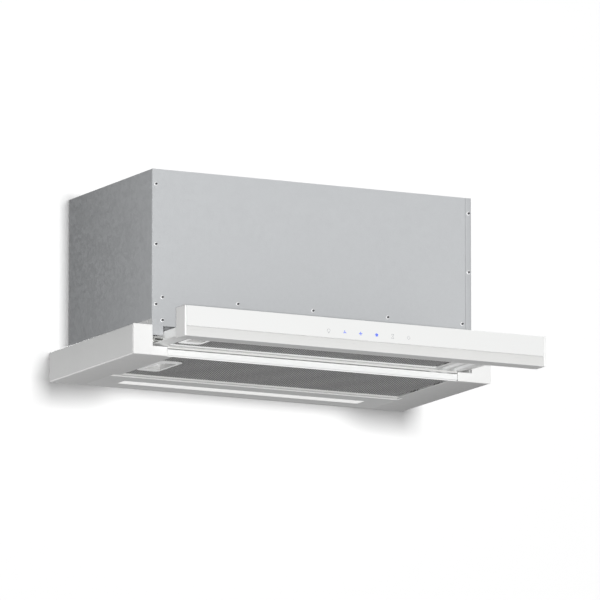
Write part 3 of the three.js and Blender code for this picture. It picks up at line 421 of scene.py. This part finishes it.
def rail_steel():
    color = (0.66, 0.665, 0.65)
    made = Finish("zinc_plated_steel", color, 0.3, 0.75)
    dark, light = shades(color, 0.14)
    drawn = made.grain((1.2 * MM, 90 * MM, 1.2 * MM), detail=4)
    made.color(made.mix(made.spread(drawn, 0, 1), dark, light))
    made.roughness(made.spread(made.grain(12 * MM, detail=4), 0.22, 0.42))
    made.relief(drawn, 0.02 * MM)
    return made.material


def white_glass():
    """Toughened glass with a white ceramic coat behind it."""
    color = (0.808, 0.812, 0.805)
    coat = {"Coat_Weight": 1.0, "Coat_Roughness": 0.02, "Coat_IOR": 1.5}
    made = Finish("white_backed_glass", color, 0.12, **coat)
    plain_variation(made, color, 0.004, 90 * MM)
    made.roughness(made.spread(made.grain(30 * MM, detail=3), 0.08, 0.16))
    return made.material


def glass_edge():
    color = (0.78, 0.85, 0.82)
    made = Finish("ground_glass_edge", color, 0.3, Coat_Weight=0.6, Coat_Roughness=0.1)
    plain_variation(made, color, 0.05, 14 * MM)
    made.relief(made.grain((30 * MM, 0.2 * MM, 0.2 * MM)), 0.01 * MM)
    return made.material


def diffuser():
    """Frosted lens: the LEDs behind it show as a faint rise and fall of light."""
    color = (0.9, 0.9, 0.885)
    made = Finish("frosted_lens", color, 0.55, Emission_Strength=0.5)
    glow = made.mix(made.wave((1 / LED_PITCH, 0, 0)), (0.86, 0.87, 0.86), (1.0, 1.0, 0.98))
    made.wire(glow, made.shader.inputs["Emission Color"])
    plain_variation(made, color, 0.01, 20 * MM)
    made.relief(made.grain(0.25 * MM, detail=3), 0.02 * MM)
    return made.material


def filter_aluminium():
    color = (0.58, 0.58, 0.58)
    made = Finish("expanded_aluminium", color, 0.42, 0.3)
    dark, light = shades(color, 0.2)
    speckled = made.mix(made.spread(made.grain(2.5 * MM, detail=3), 0, 1), dark, light)
    # The strands are painted shade between the dots.
    made.color(made.mix(made.dots(LAYER_WAVES), tuple(c * LAYER_PAINTED_SHADE for c in color), speckled))
    made.roughness(made.spread(made.grain(1.4 * MM), 0.32, 0.55))
    made.relief(made.grain((0.25 * MM, 6 * MM, 0.25 * MM), detail=2), 0.03 * MM)
    return made.material


def pad_aluminium():
    """The layers of fine mesh inside a filter, their dark colour and darker holes painted shade."""
    color = (0.13, 0.13, 0.128)
    made = Finish("filter_layers_painted_shade", color, 0.6, 0.3)
    holes = made.spread(made.cells(1.6 * MM, "DISTANCE_TO_EDGE", "Distance"), 0, 1, (0.05, 0.25))
    made.color(made.mix(holes, (0.2, 0.2, 0.198), (0.035, 0.035, 0.036)))
    made.relief(holes, -0.4 * MM)
    return made.material


def latch_metal(name, color, metallic):
    made = Finish(name, color, 0.3, metallic)
    dark, light = shades(color, 0.03)
    brushed = made.grain((0.35 * MM, 40 * MM, 0.35 * MM), detail=3)
    made.color(made.mix(made.spread(brushed, 0, 1), dark, light))
    made.roughness(made.spread(made.grain(7 * MM, detail=3), 0.28, 0.34))
    made.relief(brushed, 0.002 * MM)
    return made.material


def moulded(name, color, roughness):
    """A moulded plastic with a fine spark-eroded grain."""
    made = Finish(name, color, roughness, Specular_IOR_Level=0.4)
    plain_variation(made, color, 0.08, 25 * MM)
    made.roughness(made.spread(made.grain(6 * MM, detail=3), roughness - 0.06, roughness + 0.08))
    made.relief(made.grain(0.5 * MM, detail=3), 0.03 * MM)
    return made.material


def circuit_board():
    color = (0.02, 0.12, 0.055)
    made = Finish("solder_mask", color, 0.35, Coat_Weight=0.5, Coat_Roughness=0.2)
    tracks = made.node("ShaderNodeTexBrick")
    made.wire(made.stretched((9 * MM, 4 * MM, 4 * MM)), tracks.inputs["Vector"])
    tracks.inputs["Scale"].default_value = 1.0
    tracks.inputs["Mortar Size"].default_value = 0.06
    tracks.inputs["Color1"].default_value = (0.018, 0.11, 0.05, 1)
    tracks.inputs["Color2"].default_value = (0.022, 0.14, 0.065, 1)
    tracks.inputs["Mortar"].default_value = (0.05, 0.24, 0.11, 1)
    made.color(tracks.outputs["Color"])
    made.relief(tracks.outputs["Fac"], 0.03 * MM)
    return made.material


def motor_steel():
    color = (0.45, 0.455, 0.46)
    made = Finish("motor_can", color, 0.38, 0.6)
    dark, light = shades(color, 0.1)
    turned = made.grain((0.5 * MM, 30 * MM, 30 * MM), detail=3)
    made.color(made.mix(made.spread(turned, 0, 1), dark, light))
    made.relief(turned, 0.02 * MM)
    return made.material


def screw_zinc(name, color, metallic):
    made = Finish(name, color, 0.3, metallic)
    dark, light = shades(color, 0.12)
    made.color(made.mix(made.spread(made.grain(1.5 * MM, detail=3), 0, 1), dark, light))
    made.roughness(made.spread(made.grain(0.9 * MM), 0.2, 0.38))
    return made.material


def bedding():
    """The white strip that the glass sits on."""
    color = (0.80, 0.80, 0.79)
    made = Finish("white_bedding", color, 0.6)
    plain_variation(made, color, 0.02, 8 * MM)
    return made.material


def lit_print(name, color, glow):
    made = Finish(name, color, 0.3, Emission_Color=(*color, 1), Emission_Strength=glow)
    plain_variation(made, color, 0.06, 2 * MM)
    return made.material


finishes = {
    "white_steel": powder_coat("white_powder_coat", (0.84, 0.845, 0.84)),
    "white_plastic": white_plastic("white_moulded_plastic", (0.82, 0.822, 0.815)),
    "galvanised_steel": galvanised("galvanised_sheet", (0.495, 0.507, 0.519), 0.4, 0.018),
    "rail_steel": rail_steel(),
    "white_glass": white_glass(),
    "diffuser": diffuser(),
    "filter_aluminium": filter_aluminium(),
    "latch_metal": latch_metal("satin_latch_metal", (0.92, 0.922, 0.92), 0.75),
    "black_plastic": moulded("black_moulded_plastic", (0.022, 0.022, 0.024), 0.5),
    "grey_plastic": moulded("grey_moulded_plastic", (0.24, 0.25, 0.265), 0.48),
    "circuit_board": circuit_board(),
    "motor_steel": motor_steel(),
}
extras = {
    "glass_edge": glass_edge(),
    "pad": pad_aluminium(),
    "screw": screw_zinc("screw_zinc", (0.88, 0.885, 0.89), 0.2),
    # Painted shade: the screws' heads are near black, standing for the shade in their recesses.
    "screw_head_painted_shade": screw_zinc("screw_head_painted_shade", (0.07, 0.07, 0.075), 0.5),
    # Painted shade: a darker copy of the latch metal for the handles' wells.
    "latch_well": latch_metal("latch_well_painted_shade", (0.42, 0.42, 0.415), 0.1),
    "end_plastic": white_plastic("white_end_plastic", (0.91, 0.912, 0.905)),
    # Painted shade: a darker copy of the white coat for the low walls behind the fixed filter.
    "rear_lip": powder_coat("rear_lip_painted_shade", (0.56, 0.56, 0.55)),
    # Painted shade: a darker copy of the white coat for the base's underside.
    "underside": powder_coat("underside_painted_shade", (0.77, 0.77, 0.765)),
    # Painted shade: a darker copy of the white coat for the panel's strip below the glass.
    "trim": powder_coat("trim_painted_shade", (0.70, 0.70, 0.69)),
    # Painted highlight: a lighter white with a strong clear coat on the base's bottom bends.
    "bend": powder_coat("bend_painted_highlight", (0.93, 0.93, 0.92), 1.0, 2.3),
    # Painted shade: a grey copy of the white coat for the drawer's lip in its recess.
    "lip": powder_coat("drawer_lip_painted_shade", (0.60, 0.60, 0.59)),
    # Painted shade: near black on the walls of the gap at the front bar's right end.
    "seam": powder_coat("seam_painted_shade", (0.12, 0.12, 0.12)),
    "bedding": bedding(),
    "bright_zinc": galvanised("bright_zinc_sheet", (0.70, 0.705, 0.70), 0.15, 0.03),
    "blue": lit_print("blue_symbol", (0.10, 0.17, 0.75), 0.2),
    "grey": lit_print("grey_symbol", (0.27, 0.28, 0.30), 0.0),
}


# ---------------------------------------------------------------- making pieces
def piece(name, mesh, body, materials, replaced=()):
    """A finished piece: shaded smooth up to its sharp edges, on its body, with its materials."""
    mesh.name = name
    for material in materials:
        mesh.materials.append(material)
    mesh.shade_smooth()
    mesh.set_sharp_from_angle(angle=SHARP_ANGLE)
    obj = link(bpy.data.objects.new(name, mesh))
    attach(obj, body)
    if replaced:
        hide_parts(*replaced)
    return obj


def mesh_from(bm):
    mesh = bpy.data.meshes.new("piece")
    bmesh.ops.recalc_face_normals(bm, faces=bm.faces)
    bm.to_mesh(mesh)
    bm.free()
    return mesh


def welded(node):
    """A CAD node's surface with its triangles merged into flat faces."""
    bm = bmesh.new()
    bm.from_mesh(frame["nodes"][node].data)
    bmesh.ops.remove_doubles(bm, verts=bm.verts, dist=WELD)
    bmesh.ops.dissolve_limit(bm, angle_limit=FLAT_ANGLE, verts=bm.verts, edges=bm.edges)
    return bm


def broken_edges(obj, width, steps=ROUND_STEPS):
    bevel = obj.modifiers.new("broken_edges", "BEVEL")
    bevel.width = width
    bevel.segments = steps
    bevel.limit_method = "ANGLE"
    bevel.angle_limit = SHARP_ANGLE
    bevel.harden_normals = True
    return obj


def dress(node, edge, coats):
    """The node's own shape with its edges broken, standing for it. Each coat is a material, several of
    them painted shade and one a painted highlight, and the test for the faces that take it; the first
    that fits is used."""
    slot = slot_of[node]
    mesh = mesh_from(welded(node))
    for face in mesh.polygons:
        fitting = [i for i, (coat, fits) in enumerate(coats, 1) if fits(face)]
        face.material_index = fitting[0] if fitting else 0
    materials = [finishes[slot]] + [extras[coat] for coat, fits in coats]
    return broken_edges(piece(f"{node}_skin", mesh, body_of[node], materials, [node]), edge)


def turned(bm, profile, steps):
    """A solid of revolution about Z, from (radius, height) points that start and end on it."""
    rings = []
    for radius, height in profile:
        if radius < WELD:
            rings.append([bm.verts.new((0, 0, height))])
            continue
        angles = [math.tau * i / steps for i in range(steps)]
        circle = [(radius * math.cos(a), radius * math.sin(a), height) for a in angles]
        rings.append([bm.verts.new(point) for point in circle])
    for lower, upper in zip(rings, rings[1:]):
        for i in range(steps):
            ends = (i, (i + 1) % steps)
            corners = [lower[k % len(lower)] for k in ends]
            corners += [upper[k % len(upper)] for k in reversed(ends)]
            unique = list(dict.fromkeys(corners))
            if len(unique) > 2:
                bm.faces.new(unique)


def prism(bm, outline, place, across, up, depth):
    """An outline of (across, up) points made into a plate of that depth."""
    out = across.cross(up).normalized() * depth
    face = [bm.verts.new(place + across * a + up * b) for a, b in outline]
    back = [bm.verts.new(v.co + out) for v in face]
    bm.faces.new(face)
    bm.faces.new(back[::-1])
    for i, vert in enumerate(face):
        j = (i + 1) % len(face)
        bm.faces.new([vert, back[i], back[j], face[j]][::-1])


def arc(radius, start, end, steps):
    angles = [start + (end - start) * i / steps for i in range(steps + 1)]
    return [(radius * math.cos(a), radius * math.sin(a)) for a in angles]


def box_shell(bm, low, high):
    corners = [(low.x, low.y), (high.x, low.y), (high.x, high.y), (low.x, high.y)]
    prism(bm, corners, Vector((0, 0, low.z)), X, Y, high.z - low.z)


# ---------------------------------------------------------------- screws
FLANGE_RADIUS, FLANGE_HEIGHT = 2.9 * MM, 0.7 * MM
SCREW_RADIUS, SCREW_HEIGHT = 1.75 * MM, 2.6 * MM
CROSS_LONG, CROSS_WIDE, CROSS_DEEP = 2.3 * MM, 0.6 * MM, 1.3 * MM
SCREW_STEPS = 20
SCREW_TURN = 2.4  # radians from one screw's cross to the next one's

# Places in mm: (x, z) on the housing's front, levels up its back, and x along its back's top.
COVER_SCREWS = [
    (-261.8, 258.2), (-261.8, 167.3), (-261.8, 76.8), (-251.0, 88.1), (-251.0, 53.5),
    (262.5, 257.5), (262.5, 167.4),
    (-125.7, 87.8), (-0.1, 87.8), (125.5, 87.8), (251.5, 87.8),
]
BACK_LEVELS, BACK_ROW, BACK_INSET = (78, 168, 258), (-180, 0, 180), 6 * MM
COLLAR_WALL, COLLAR_INSET, COLLAR_COUNT = 2 * MM, 4.2 * MM, 4


def cross_outline(long, wide):
    a, b = long / 2, wide / 2
    arm = [(a, b), (b, b), (b, a)]
    points = []
    for turn in range(4):
        c, s = round(math.cos(turn * math.pi / 2)), round(math.sin(turn * math.pi / 2))
        points += [(c * x - s * y, s * x + c * y) for x, y in arm]
    return points


def screw_master():
    """A washer head with a cross recess, standing on the origin and facing +Z. Its flange is the first
    material, and all above it the second, which is painted near black as the shade in and round the
    recess."""
    r, h, flange = SCREW_RADIUS, SCREW_HEIGHT, FLANGE_HEIGHT
    profile = [(0, 0), (FLANGE_RADIUS, 0), (FLANGE_RADIUS, 0.5 * flange)]
    profile += [(0.85 * FLANGE_RADIUS, flange), (r, flange)]
    profile += [(r, 0.7 * h), (0.9 * r, 0.9 * h), (0.6 * r, h), (0, h)]
    bm = bmesh.new()
    turned(bm, profile, SCREW_STEPS)
    head = link(bpy.data.objects.new("screw_master", mesh_from(bm)))
    bm = bmesh.new()
    outline = cross_outline(CROSS_LONG, CROSS_WIDE)
    prism(bm, outline, Vector((0, 0, h - CROSS_DEEP)), X, Y, 2 * CROSS_DEEP)
    cutter = link(bpy.data.objects.new("cross_cutter", mesh_from(bm)))
    cut = head.modifiers.new("cross", "BOOLEAN")
    cut.object = cutter
    cut.solver = "EXACT"
    graph = bpy.context.evaluated_depsgraph_get()
    mesh = bpy.data.meshes.new_from_object(head.evaluated_get(graph))
    for face in mesh.polygons:
        face.material_index = int(face.center.z > flange)
    bpy.data.objects.remove(head)
    bpy.data.objects.remove(cutter)
    return mesh


screw = screw_master()


def fasteners(name, places, facing):
    """The housing's screws at each place, heads facing one way, each cross turned further."""
    bm = bmesh.new()
    face_out = facing.to_track_quat("Z", "Y").to_matrix().to_4x4()
    for i, place in enumerate(places):
        start = len(bm.verts)
        bm.from_mesh(screw)
        bm.verts.ensure_lookup_table()
        move = Matrix.Translation(place) @ face_out @ Matrix.Rotation(i * SCREW_TURN, 4, "Z")
        bmesh.ops.transform(bm, matrix=move, verts=bm.verts[start:])
    return piece(name, mesh_from(bm), "hood", [extras["screw"], extras["screw_head_painted_shade"]])


def cover_screws():
    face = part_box("housing_cover")[0].y
    fasteners("cover_screws", [Vector((x * MM, face, z * MM)) for x, z in COVER_SCREWS], -Y)


def back_screws():
    """Screws up both edges of the back and along its top."""
    low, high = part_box("housing_left")
    across = -low.x - BACK_INSET
    spots = [Vector((side * across, high.y, z * MM)) for side in (-1, 1) for z in BACK_LEVELS]
    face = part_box("housing_back")[1].y
    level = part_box("housing_top")[0].z + BACK_INSET
    spots += [Vector((x * MM, face, level)) for x in BACK_ROW]
    fasteners("back_screws", spots, Y)


def collar_screws():
    """Screws that hold the outlet ring's flange to the top."""
    low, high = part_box("outlet_collar")
    middle = (low + high) / 2
    radius = (high.x - low.x) / 2 - COLLAR_INSET
    level = Vector((middle.x, middle.y, low.z + COLLAR_WALL))
    angles = [math.tau * (i + 0.5) / COLLAR_COUNT for i in range(COLLAR_COUNT)]
    spots = [level + radius * Vector((math.cos(a), math.sin(a), 0)) for a in angles]
    fasteners("collar_screws", spots, Z)


# ---------------------------------------------------------------- plain dressed nodes
# Width in mm of each node's broken edges.
EDGES = {
    "base_pan": 0.35, "front_bar": 0.5, "corner_cap_left": 0.6, "corner_cap_right": 0.6,
    "filter_support": 0.25, "light_panel": 0.3, "light_channel": 0.2, "light_diffuser": 0.3,
    "light_board": 0.15, "housing_left": 0.25, "housing_right": 0.25, "housing_cover": 0.25,
    "housing_back": 0.25, "housing_top": 0.25, "front_crossbar": 0.25, "rail_carrier_left": 0.25,
    "rail_carrier_right": 0.25, "rail_outer_left": 0.2, "rail_outer_right": 0.2,
    "rail_middle_left": 0.2, "rail_middle_right": 0.2, "rail_inner_left": 0.2,
    "rail_inner_right": 0.2, "drawer_tray": 0.25, "panel_body": 0.3, "panel_back_cover": 0.35,
    "panel_end_left": 0.5, "panel_end_right": 0.5, "touch_board": 0.15,
    "fixed_filter_frame": 0.4, "drawer_filter_frame": 0.4, "fixed_filter_handle": 0.35,
    "drawer_filter_handle": 0.35, "fixed_filter_latch": 0.35, "drawer_filter_latch": 0.35,
    "scroll_left": 0.4, "scroll_right": 0.4, "impeller": 0.2, "motor_shaft": 0.3,
    "motor_body": 0.5, "motor_bracket": 0.3, "outlet_collar": 0.4, "flap_pin": 0.2,
    "flap_front": 0.2, "flap_rear": 0.2, "control_box": 0.5, "control_box_lid": 0.5,
    "power_board": 0.15, "capacitor": 0.8, "cable_gland": 0.5,
}
BEND_LEAST, FACING = 0.2, 0.9  # least share of a normal that tilts one way, or faces it
REAR_REACH, SEAM_REACH = 8 * MM, 1 * MM


def is_bend(face):
    """The rounded bends along the bottom of the base, which take a painted highlight."""
    return abs(face.normal.x) > BEND_LEAST and face.normal.z < -BEND_LEAST


def is_trim(face):
    """The strip of the panel's front that shows below the glass, painted darker than the panel as
    shade.
    """
    return face.normal.y < -FACING and face.center.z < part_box("panel_glass")[0].z


def is_well(face):
    """All of a handle but its plate's face: the well, which takes a painted shade."""
    return face.normal.z > -FACING


def is_rear_lip(face):
    """The low walls that face the front, behind the fixed filter, which take a painted shade."""
    start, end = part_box("fixed_filter_mesh")[1].y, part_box("light_panel")[0].y + REAR_REACH
    behind = start < face.center.y < end
    return face.normal.y < -FACING and face.center.z < REAR_REACH and behind


# The base's faces that look down, which take a painted shade.
def is_underside(face):
    return face.normal.z < -FACING


def is_any(face):
    return True


def is_seam(face):
    """The walls on both sides of the gap at the front bar's right end, painted near black as the gap's
    shade.
    """
    beside = abs(face.center.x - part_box("front_bar")[1].x) < SEAM_REACH
    return abs(face.normal.x) > FACING and beside


handle_well_shades = [("latch_well", is_well)]
rear_lip_shades = [("rear_lip", is_rear_lip)]
# Coats on some faces of a node: several are painted shade, and the bends' one is a painted highlight.
COATS = {
    "base_pan": [("bend", is_bend), ("rear_lip", is_rear_lip), ("underside", is_underside)],
    "fixed_filter_frame": rear_lip_shades, "filter_support": rear_lip_shades, "light_panel": rear_lip_shades,
    "panel_body": [("trim", is_trim)],
    "front_bar": [("seam", is_seam)], "corner_cap_right": [("seam", is_seam)],
    "fixed_filter_handle": handle_well_shades, "drawer_filter_handle": handle_well_shades,
    "rail_carrier_left": [("bright_zinc", is_any)], "rail_carrier_right": [("bright_zinc", is_any)],
    "panel_end_left": [("end_plastic", is_any)], "panel_end_right": [("end_plastic", is_any)],
}


def dressed_nodes():
    for node, edge in EDGES.items():
        dress(node, edge * MM, COATS.get(node, ()))


LIP_CLEAR, LIP_BACK, LIP_THICK, LIP_BREAK = 1.0 * MM, 0.8 * MM, 1.2 * MM, 0.2 * MM


def drawer_lip():
    """The lip under the drawer that closes the gap above the base's front bar, in a grey that is
    painted shade.
    """
    bar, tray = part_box("front_bar"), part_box("drawer_tray")
    low = Vector((bar[0].x, bar[0].y + LIP_BACK, bar[1].z + LIP_CLEAR))
    high = Vector((bar[1].x, low.y + LIP_THICK, tray[0].z))
    bm = bmesh.new()
    box_shell(bm, low, high)
    lip = piece("drawer_lip", mesh_from(bm), "drawer", [extras["lip"]])
    broken_edges(lip, LIP_BREAK)


# ---------------------------------------------------------------- panel
BEDDING_HEIGHT, BEDDING_RECESS, BEDDING_BREAK = 0.28 * MM, 0.07 * MM, 0.05 * MM
GLASS_BREAK, GLASS_STEPS = 0.3 * MM, 3
GLASS_FRONT = 0.5  # a face that looks forward at least this much is the glass's face


def glass_panel():
    """The glass front: white on its face, pale green on its ground edges."""
    bm = welded("panel_glass")
    bm.faces.ensure_lookup_table()
    for face in bm.faces:
        if face.normal.y > -GLASS_FRONT:
            face.material_index = 1
    materials = [finishes["white_glass"], extras["glass_edge"]]
    obj = piece("panel_glass_skin", mesh_from(bm), "drawer", materials, ["panel_glass"])
    broken_edges(obj, GLASS_BREAK, GLASS_STEPS)
    low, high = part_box("panel_glass")
    bm = bmesh.new()
    recess = Vector((0, BEDDING_RECESS, 0))
    box_shell(bm, low - Z * BEDDING_HEIGHT + recess, Vector((high.x, high.y, low.z)))
    strip = piece("glass_bedding", mesh_from(bm), "drawer", [extras["bedding"]])
    broken_edges(strip, BEDDING_BREAK)


ICON_FIRST, ICON_PITCH, ICON_LEVEL = -63.3 * MM, 26.6 * MM, 25.3 * MM
ICON_PROUD = 0.03 * MM
ICON_SCALE = 0.85
LINE = 0.45 * MM  # width of a symbol's lines
RING_STEPS = 28
HUB_RADIUS, HUB_HOLE, BLADE_LENGTH = 0.75 * MM, 0.05 * MM, 3.3 * MM
# A blade's outline: share of its length, lean in blade widths, and share of its half width.
BLADE = [(0.12, 0, -1), (0.55, 0.1, -1), (0.9, 0.3, -0.8), (1.0, 0.45, 0)]
BLADE += [(0.85, 0.45, 0.8), (0.5, 0.2, 1), (0.12, 0, 1)]
BULB_RADIUS, BULB_RISE, BULB_OPEN = 3.0 * MM, 0.6 * MM, math.pi * 0.33
# In mm: the level and half the length of each bar under the bulb, and half its height.
BULB_BARS, BULB_BAR_HALF = ((-2.3, 1.5), (-3.2, 1.2), (-4.0, 0.7)), 0.2
TIMER_HALF, TIMER_HIGH, TIMER_NECK = 2.1 * MM, 3.6 * MM, 0.45
POWER_RADIUS, POWER_GAP = 2.9 * MM, math.radians(28)
POWER_BAR = (0.22 * MM, 0.9 * MM, 3.5 * MM)  # half its width, its foot and its top


def ring(bm, place, outer, inner, start=0.0, end=math.tau):
    """A flat ring, or a part of one, on the glass."""
    outside = arc(outer, start, end, RING_STEPS)
    inside = arc(inner, start, end, RING_STEPS)
    for i in range(RING_STEPS):
        quad = [outside[i], outside[i + 1], inside[i + 1], inside[i]]
        prism(bm, quad, place, X, Z, ICON_PROUD)


def bar(bm, place, half, low, high):
    """A flat bar on the glass, that far to both sides of the place and between two levels."""
    outline = [(-half, low), (half, low), (half, high), (-half, high)]
    prism(bm, outline, place, X, Z, ICON_PROUD)


def blade(bm, place, turn, length, width):
    """One rounded fan blade that starts at the hub and leans to one side."""
    outline = []
    for share, lean, side in BLADE:
        angle = turn + lean * width / length
        c, s = math.cos(angle), math.sin(angle)
        a = length * share
        b = width / 2 * side * min(1, share * 2)
        outline.append((a * c - b * s, a * s + b * c))
    prism(bm, outline, place, X, Z, ICON_PROUD)


def fan_icon(blades, width):
    def draw(bm, place):
        ring(bm, place, HUB_RADIUS, HUB_HOLE)
        for i in range(blades):
            turn = math.tau * i / blades + math.pi / 2
            blade(bm, place, turn, BLADE_LENGTH, width * MM)
    return draw


def lamp_icon(bm, place):
    """A bulb that is open at its foot, over three short bars."""
    bulb = place + Z * BULB_RISE
    ring(bm, bulb, BULB_RADIUS, BULB_RADIUS - LINE, -BULB_OPEN, math.pi + BULB_OPEN)
    for level, half in BULB_BARS:
        bar(bm, place, half * MM, (level - BULB_BAR_HALF) * MM, (level + BULB_BAR_HALF) * MM)


def timer_icon(bm, place):
    """An hourglass between two bars."""
    a, h, t, neck = TIMER_HALF, TIMER_HIGH, LINE, TIMER_NECK * TIMER_HIGH
    wall = [(a, h), (a, neck), (t / 2, 0), (a, -neck), (a, -h)]
    inside = [(a - t, -h), (a - t, -neck), (-t / 4, 0), (a - t, neck), (a - t, h)]
    for side in (-1, 1):
        bar(bm, place, a + t, side * h - t / 2, side * h + t / 2)
        prism(bm, [(side * x, z) for x, z in wall + inside], place, X, Z, ICON_PROUD)


def power_icon(bm, place):
    """An open ring with a bar in its gap."""
    top = math.pi / 2
    start, end = top + POWER_GAP, top + math.tau - POWER_GAP
    ring(bm, place, POWER_RADIUS, POWER_RADIUS - LINE, start, end)
    bar(bm, place, *POWER_BAR)


def touch_symbols():
    """Symbols printed on the glass: lamp, three fan speeds, timer and power."""
    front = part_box("panel_glass")[0].y
    symbols = [
        ("lamp", "grey", lamp_icon), ("speed_low", "blue", fan_icon(3, 1.5)),
        ("speed_middle", "blue", fan_icon(4, 1.7)), ("speed_high", "blue", fan_icon(5, 2.2)),
        ("timer", "grey", timer_icon), ("power", "grey", power_icon),
    ]
    for i, (label, ink, draw) in enumerate(symbols):
        bm = bmesh.new()
        place = Vector((ICON_FIRST + i * ICON_PITCH, front - ICON_PROUD, ICON_LEVEL))
        draw(bm, place)
        about = Matrix.Translation(-place)
        bmesh.ops.scale(bm, vec=(ICON_SCALE, 1, ICON_SCALE), space=about, verts=bm.verts)
        piece(f"symbol_{label}", mesh_from(bm), "drawer", [extras[ink]])


# ---------------------------------------------------------------- grease filters
LONG_PITCH, SHORT_PITCH = 12.0 * MM, 3.8 * MM
STRAND_WIDTH, STRAND_THICK, STRAND_TILT = 0.7 * MM, 0.3 * MM, 0.3 * MM
WELL_MARGIN = 3 * MM
RIM_WIDTH, RIM_THICK, RIM_FOLD = 2.2 * MM, 0.25 * MM, 0.6 * MM
RIM_ROLL = (0.3 * MM, 0.2 * MM)  # how far in and up the rolled outer edge reaches
PAD_INSET = 2.8 * RIM_WIDTH
PAD_LIFT, PAD_THICK = 1.0 * MM, 0.4 * MM
PAD_CELL = 6 * MM
PAD_WAVE, PAD_WAVE_LONG = 0.45 * MM, 9 * MM


def strand(verts, faces, ys, x, phase, z):
    """One zigzag strand of the expanded sheet, a closed strip with a tilted face."""
    first = len(verts)
    for i, y in enumerate(ys):
        sway = SHORT_PITCH / 4 * (-1) ** (i + phase)
        for across, rise in ((0.5, 0.0), (-0.5, STRAND_TILT)):
            verts.append((x + sway + across * STRAND_WIDTH, y, z + rise))
        for across, rise in ((-0.5, STRAND_TILT), (0.5, 0.0)):
            verts.append((x + sway + across * STRAND_WIDTH, y, z + rise + STRAND_THICK))
    for i in range(len(ys) - 1):
        a = first + 4 * i
        for k in range(4):
            m = (k + 1) % 4
            faces.append((a + k, a + 4 + k, a + 4 + m, a + m))
    end = first + 4 * (len(ys) - 1)
    faces.append((first, first + 1, first + 2, first + 3))
    faces.append((end + 3, end + 2, end + 1, end))


def expanded_sheet(name):
    """The filter's face: real expanded metal, cut out round the handle's well."""
    low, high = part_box(f"{name}_mesh")
    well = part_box(f"{name}_handle")
    left, right = well[0].x + WELL_MARGIN, well[1].x - WELL_MARGIN
    near, far = well[0].y + WELL_MARGIN, well[1].y - WELL_MARGIN
    verts, faces = [], []
    columns = int((high.x - low.x - RIM_WIDTH) / (SHORT_PITCH / 2))
    rows = int((high.y - low.y - RIM_WIDTH) / (LONG_PITCH / 2))
    start_x = (low.x + high.x - (columns - 1) * SHORT_PITCH / 2) / 2
    start_y = (low.y + high.y - rows * LONG_PITCH / 2) / 2
    for column in range(columns):
        x = start_x + column * SHORT_PITCH / 2
        ys = [start_y + i * LONG_PITCH / 2 for i in range(rows + 1)]
        if not left < x < right:
            strand(verts, faces, ys, x, column, low.z)
            continue
        front = [y for y in ys if y < near]
        back = [y for y in ys if y > far]
        strand(verts, faces, front, x, column, low.z)
        strand(verts, faces, back, x, column + len(ys) - len(back), low.z)
    mesh = bpy.data.meshes.new(name)
    mesh.from_pydata(verts, [], faces)
    body, metal = body_of[f"{name}_mesh"], [finishes["filter_aluminium"]]
    piece(f"{name}_expanded", mesh, body, metal, [f"{name}_mesh"])


def filter_rim(name):
    """The crimped edge that holds the mesh: a flat band with a rolled outer edge."""
    low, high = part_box(f"{name}_mesh")
    bm = bmesh.new()
    loops = []
    inside = low.z + RIM_THICK
    section = [(0, high.z), (0, low.z + RIM_ROLL[1]), (RIM_ROLL[0], low.z), (RIM_WIDTH, low.z)]
    section += [(RIM_WIDTH, inside), (RIM_FOLD, inside), (RIM_FOLD, high.z)]
    for inset, level in section:
        x0, x1, y0, y1 = low.x + inset, high.x - inset, low.y + inset, high.y - inset
        loops.append([bm.verts.new((x, y, level)) for x, y in ((x0, y0), (x1, y0), (x1, y1), (x0, y1))])
    for a, b in zip(loops, loops[1:] + loops[:1]):
        for i in range(4):
            j = (i + 1) % 4
            bm.faces.new((a[i], a[j], b[j], b[i]))
    piece(f"{name}_rim", mesh_from(bm), body_of[f"{name}_mesh"],
          [finishes["filter_aluminium"]])


def filter_pad(name):
    """The crimped layers inside the frame, seen through the mesh."""
    low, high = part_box(f"{name}_mesh")
    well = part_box(f"{name}_handle")
    x0, x1 = low.x + PAD_INSET, high.x - PAD_INSET
    y0, y1 = low.y + PAD_INSET, high.y - PAD_INSET
    columns, rows = round((x1 - x0) / PAD_CELL), round((y1 - y0) / PAD_CELL)
    bm = bmesh.new()
    grid = {}
    for i in range(columns + 1):
        for j in range(rows + 1):
            x, y = x0 + (x1 - x0) * i / columns, y0 + (y1 - y0) * j / rows
            wave = noise.noise(Vector((x, y, low.z)) / PAD_WAVE_LONG) * PAD_WAVE
            grid[i, j] = bm.verts.new((x, y, high.z + PAD_LIFT + wave))
    for i in range(columns):
        for j in range(rows):
            corners = [grid[i, j], grid[i + 1, j], grid[i + 1, j + 1], grid[i, j + 1]]
            middle = sum((v.co for v in corners), Vector()) / 4
            if well[0].x < middle.x < well[1].x and well[0].y < middle.y < well[1].y:
                continue
            bm.faces.new(corners)
    loose = [v for v in bm.verts if not v.link_faces]
    bmesh.ops.delete(bm, geom=loose, context="VERTS")
    bmesh.ops.solidify(bm, geom=list(bm.faces), thickness=PAD_THICK)
    body = body_of[f"{name}_mesh"]
    piece(f"{name}_layers", mesh_from(bm), body, [extras["pad"]])


def grease_filters():
    for name in ("fixed_filter", "drawer_filter"):
        expanded_sheet(name)
        filter_rim(name)
        filter_pad(name)


# ---------------------------------------------------------------- the scene
make_camera()
make_world()
make_lamps(make_stage())
dressed_nodes()
drawer_lip()
glass_panel()
touch_symbols()
grease_filters()
cover_screws()
back_screws()
collar_screws()

bpy.context.scene.view_settings.view_transform = "Standard"
